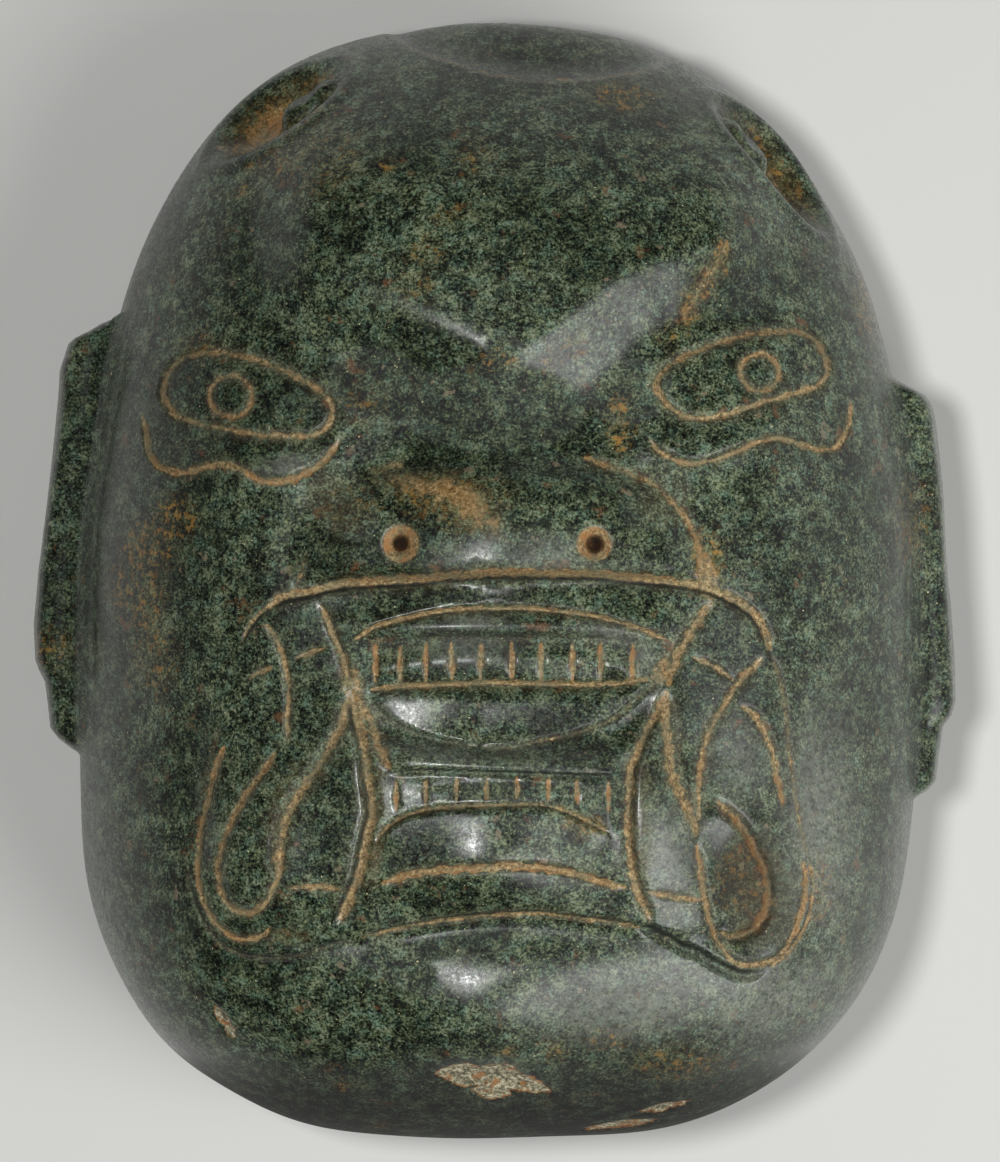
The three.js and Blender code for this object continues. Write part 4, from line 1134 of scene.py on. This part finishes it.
# Where a value starts to show, where it shows fully, and how much of it shows then
EDGES = {"packed dirt": (0.4, 0.62, 0.92), "shade": (0.15, 1, 0.9), "chip rim": (0.66, 0.76, 0.8),
         "chip": (0.76, 0.88, 1), "dull": (0.1, 0.9, 0.75), "dull chip": (0.1, 0.5, 0.75)}
# How ragged the packed dirt's edge is, and how much thin dirt, iron tint and broken edge show
RAGGED_WEIGHTS = {"uneven dirt": 0.8, "dirt fringe": 1.2}
THIN_DIRT = 0.45
IRON_TINT = 0.5
CHIP_EDGE_WEIGHT = 0.9
PIT_STRENGTH = 0.8
PIT_DEPTH_MM = 0.03
STONE_IOR = 1.5
# A mix node's colour output
MIXED_COLOUR = 2


def stone_patterns(tree):
    """Every pattern of the stone by its name."""
    places = add_node(tree, "ShaderNodeTexCoord").outputs["Object"]
    patterns = {}
    for name, (size, detail, rough, aside, *spread) in PATTERNS.items():
        moved = add_node(tree, "ShaderNodeVectorMath", {"operation": "ADD"},
                         {"Vector": places, "Vector_001": (aside, aside, aside)})
        noise = add_node(tree, "ShaderNodeTexNoise", inputs={
            "Vector": moved.outputs["Vector"], "Scale": 1 / (size * MM), "Detail": detail,
            "Roughness": rough})
        patterns[name] = noise.outputs["Fac"]
        if spread:
            limits = dict(zip(("From Min", "From Max", "To Min", "To Max"), spread))
            shares = add_node(tree, "ShaderNodeMapRange", {"interpolation_type": "SMOOTHSTEP"},
                              {"Value": noise.outputs["Fac"], **limits})
            patterns[name] = shares.outputs["Result"]
    return patterns


def weighed_sum(tree, terms, start=0.0):
    """Adds values up, each times its weight."""
    total = start
    for value, weight in terms:
        total = add_node(tree, "ShaderNodeMath", {"operation": "MULTIPLY_ADD"},
                         {"Value": value, "Value_001": weight, "Value_002": total}).outputs["Value"]
    return total


def largest(tree, values):
    """The largest of some values."""
    found, *others = values
    for value in others:
        found = add_node(tree, "ShaderNodeMath", {"operation": "MAXIMUM"},
                         {"Value": found, "Value_001": value}).outputs["Value"]
    return found


def past_edges(tree, values):
    """Each value as the share of it that shows, by its name."""
    shares = {}
    for name, value in values.items():
        low, high, most = EDGES[name]
        node = add_node(tree, "ShaderNodeMapRange", {"interpolation_type": "SMOOTHSTEP"},
                        {"Value": value, "From Min": low, "From Max": high, "To Max": most})
        shares[name] = node.outputs["Result"]
    return shares


def layered(tree, colour, layers):
    """Lays colours over a first one, each by its share and its way of blending."""
    for share, above, blend in layers:
        node = add_node(tree, "ShaderNodeMix", {"data_type": "RGBA", "blend_type": blend},
                        {"Factor_Float": share, "A_Color": colour, "B_Color": above})
        colour = node.outputs[MIXED_COLOUR]
    return colour


def grain_colour(tree, patterns):
    """Near-black to grey-green grains, clouded blue-green and olive, with dark, ruddy and pale ones."""
    value = weighed_sum(tree, [(patterns[name], weight) for name, weight in GRAIN_WEIGHTS.items()])
    grain = add_node(tree, "ShaderNodeValToRGB", inputs={"Fac": value}, stops=GRAIN_COLOURS)
    return layered(tree, grain.outputs["Color"],
                   [(patterns[name], colour, blend) for name, colour, blend in GRAIN_LAYERS])


def dirt_colour(tree, patterns, rust):
    """Tan soil, greyer in patches and brown where iron has run into it."""
    tan = add_node(tree, "ShaderNodeValToRGB", inputs={"Fac": patterns["tan dirt"]}, stops=TAN_COLOURS)
    rusty = weighed_sum(tree, [(rust, patterns["rusty dirt"])])
    return layered(tree, tan.outputs["Color"],
                   [(patterns["grey dirt"], "#6e6f55", "MIX"), (rusty, "#a06c38", "MIX")])


def broken_colour(tree, patterns):
    """Pale crushed grains with rust between them."""
    pale = add_node(tree, "ShaderNodeValToRGB", inputs={"Fac": patterns["broken grains"]},
                    stops=BROKEN_COLOURS)
    return layered(tree, pale.outputs["Color"], [(patterns["rusty chip"], "#94602c", "MIX")])


def polished_greenstone():
    """Serpentine, ground with grit and polished: near-black to grey-green grains of half a millimetre to
    two millimetres, cloudy with olive and teal, under a soft gloss that the grain breaks up. Tan dirt sits
    in the cuts, iron has stained it orange in spots, and broken stone is pale and dull."""
    material, tree = empty_material("polished_greenstone")
    patterns = stone_patterns(tree)
    marks = {name: add_node(tree, "ShaderNodeAttribute", {"attribute_name": name}).outputs["Fac"]
             for name in MARKS}
    fringes = [(patterns[name], weight) for name, weight in RAGGED_WEIGHTS.items()]
    ragged = weighed_sum(tree, [(marks["residue"], 1.0), *fringes], start=-sum(RAGGED_WEIGHTS.values()) / 2)
    chipped = weighed_sum(tree, [(marks["chip"], 1.0), (patterns["chip edge"], CHIP_EDGE_WEIGHT)])
    shares = past_edges(tree, {"packed dirt": ragged, "shade": marks["shade"], "chip rim": chipped,
                               "chip": chipped, "dull": marks["dull"], "dull chip": marks["chip"]})
    dirty = largest(tree, [shares["packed dirt"], weighed_sum(tree, [(marks["residue"], THIN_DIRT)])])
    colour = layered(tree, grain_colour(tree, patterns), [
        (weighed_sum(tree, [(marks["stain"], IRON_TINT)]), "#665e30", "COLOR"),
        (weighed_sum(tree, [(marks["stain"], patterns["iron spots"])]), "#9c7436", "MIX"),
        # Painted sheen: pale grey-green painted where highlights and reflections fall on the polish
        (weighed_sum(tree, [(marks["painted_sheen"], patterns["painted_sheen"])]), "#8e9088", "MIX"),
        (dirty, dirt_colour(tree, patterns, marks["rust"]), "MIX"),
        # Darkening, multiplied in: painted shade in the nostril holes and the hollow beside the mouth, and
        # darker towards the chin end
        (weighed_sum(tree, [(marks["darkening"], patterns["darkening spots"])]), "#4a4026", "MULTIPLY"),
        # Painted shade: near-black on the bare walls of the cuts, in the dark shadow lines and behind the lip
        # of the cleft
        (shares["shade"], "#0b0e09", "MIX"),
        (shares["chip rim"], "#7d5128", "MIX"),
        (shares["chip"], broken_colour(tree, patterns), "MIX"),
    ])
    roughness = largest(tree, [patterns["polish"], shares["dull"], shares["dull chip"], marks["darkening"]])
    pits = add_node(tree, "ShaderNodeBump", inputs={
        "Strength": PIT_STRENGTH, "Distance": PIT_DEPTH_MM * MM, "Height": patterns["pits"]})
    shader = add_node(tree, "ShaderNodeBsdfPrincipled", inputs={
        "IOR": STONE_IOR, "Base Color": colour, "Roughness": roughness, "Normal": pits.outputs["Normal"]})
    add_node(tree, "ShaderNodeOutputMaterial", inputs={"Surface": shader.outputs["BSDF"]})
    return material


# The fine tooth of the paper: nine rises to a centimetre
PAPER_TOOTH_MM = 10 / 9
PAPER_TOOTH_DEPTH_MM = 0.2
PAPER_TOOTH_STRENGTH = 0.05


def matt_paper():
    """Matt studio paper with a fine tooth: a pale, even grey."""
    material, tree = empty_material("matt_paper")
    places = add_node(tree, "ShaderNodeTexCoord").outputs["Object"]
    fibre = add_node(tree, "ShaderNodeTexNoise", inputs={
        "Vector": places, "Scale": 1 / (PAPER_TOOTH_MM * MM), "Detail": 3})
    tooth = add_node(tree, "ShaderNodeBump", inputs={
        "Strength": PAPER_TOOTH_STRENGTH, "Distance": PAPER_TOOTH_DEPTH_MM * MM,
        "Height": fibre.outputs["Fac"]})
    shader = add_node(tree, "ShaderNodeBsdfPrincipled", inputs={
        "Base Color": "#d2d2cf", "Roughness": 0.9, "Normal": tooth.outputs["Normal"]})
    add_node(tree, "ShaderNodeOutputMaterial", inputs={"Surface": shader.outputs["BSDF"]})
    return material


# Studio, in metres: the camera hangs over the mask, and the photograph's frame is taken at FRAME_HEIGHT
CAMERA_HEIGHT = 2.2
FRAME_HEIGHT = 0.03
PIXEL_MM = 0.18
PHOTO_WIDE, PHOTO_TALL = 1000, 1162
MIDDLE_PIXEL = (494.5, 580)
SENSOR_MM = 36
VIEW_END = 20
FLOOR_SIZE = 6
AIM_HEIGHT = 0.05
# Round soft lights: turn from the viewer's right and drop from straight above in degrees, distance, size
# and power
LIGHTS = {
    "front_lamp": (170, 8.5, 1.9, 0.24, 20),
    "low_right_softbox": (326, 45, 1.25, 0.95, 11.4),
    "right_panel": (14, 81, 1.4, 0.9, 1.6),
    "left_panel": (176, 77, 1.4, 1.1, 0.2),
    "crown_panel": (75, 79, 1.4, 1.0, 0.7),
}
ROOM_LIGHT = 0.035


def studio_floor():
    bpy.ops.object.select_all(action="DESELECT")
    bpy.ops.mesh.primitive_plane_add(size=FLOOR_SIZE, location=(0, 0, 0))
    floor = bpy.context.object
    floor.name = "studio_floor"
    floor.data.materials.append(matt_paper())


def studio_camera():
    """Looks straight down on the lying mask, with the photograph's frame."""
    data = bpy.data.cameras.new("camera")
    data.sensor_width = SENSOR_MM
    span = PHOTO_TALL * PIXEL_MM * MM
    data.lens = SENSOR_MM * (CAMERA_HEIGHT - FRAME_HEIGHT) / span
    data.clip_end = VIEW_END
    camera = bpy.data.objects.new("camera", data)
    bpy.context.collection.objects.link(camera)
    x = (PHOTO_WIDE / 2 - MIDDLE_PIXEL[0]) * PIXEL_MM * MM
    y = (MIDDLE_PIXEL[1] - PHOTO_TALL / 2) * PIXEL_MM * MM
    camera.location = (x, y, CAMERA_HEIGHT)
    bpy.context.scene.camera = camera


def area_light(name, turn, drop, distance, size, power):
    """A round soft light aimed at the mask."""
    across, down = math.radians(turn), math.radians(drop)
    aim = Vector((0, 0, AIM_HEIGHT))
    place = aim + distance * Vector((math.sin(down) * math.cos(across), math.sin(down) * math.sin(across),
                                     math.cos(down)))
    data = bpy.data.lights.new(name, "AREA")
    data.shape = "DISK"
    data.size = size
    data.energy = power
    light = bpy.data.objects.new(name, data)
    bpy.context.collection.objects.link(light)
    light.location = place
    light.rotation_euler = (aim - place).to_track_quat("-Z", "Y").to_euler()


def studio_light():
    for name, values in LIGHTS.items():
        area_light(name, *values)
    world = bpy.data.worlds.new("studio")
    bpy.context.scene.world = world
    world.use_nodes = True
    sky = world.node_tree.nodes["Background"]
    sky.inputs["Color"].default_value = (1, 1, 1, 1)
    sky.inputs["Strength"].default_value = ROOM_LIGHT
    bpy.context.scene.view_settings.view_transform = "Standard"


studio_camera()
studio_floor()
studio_light()
mask = carved_stone()
mask.data.materials.append(polished_greenstone())
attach(mask, "root")
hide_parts("stone_mask")
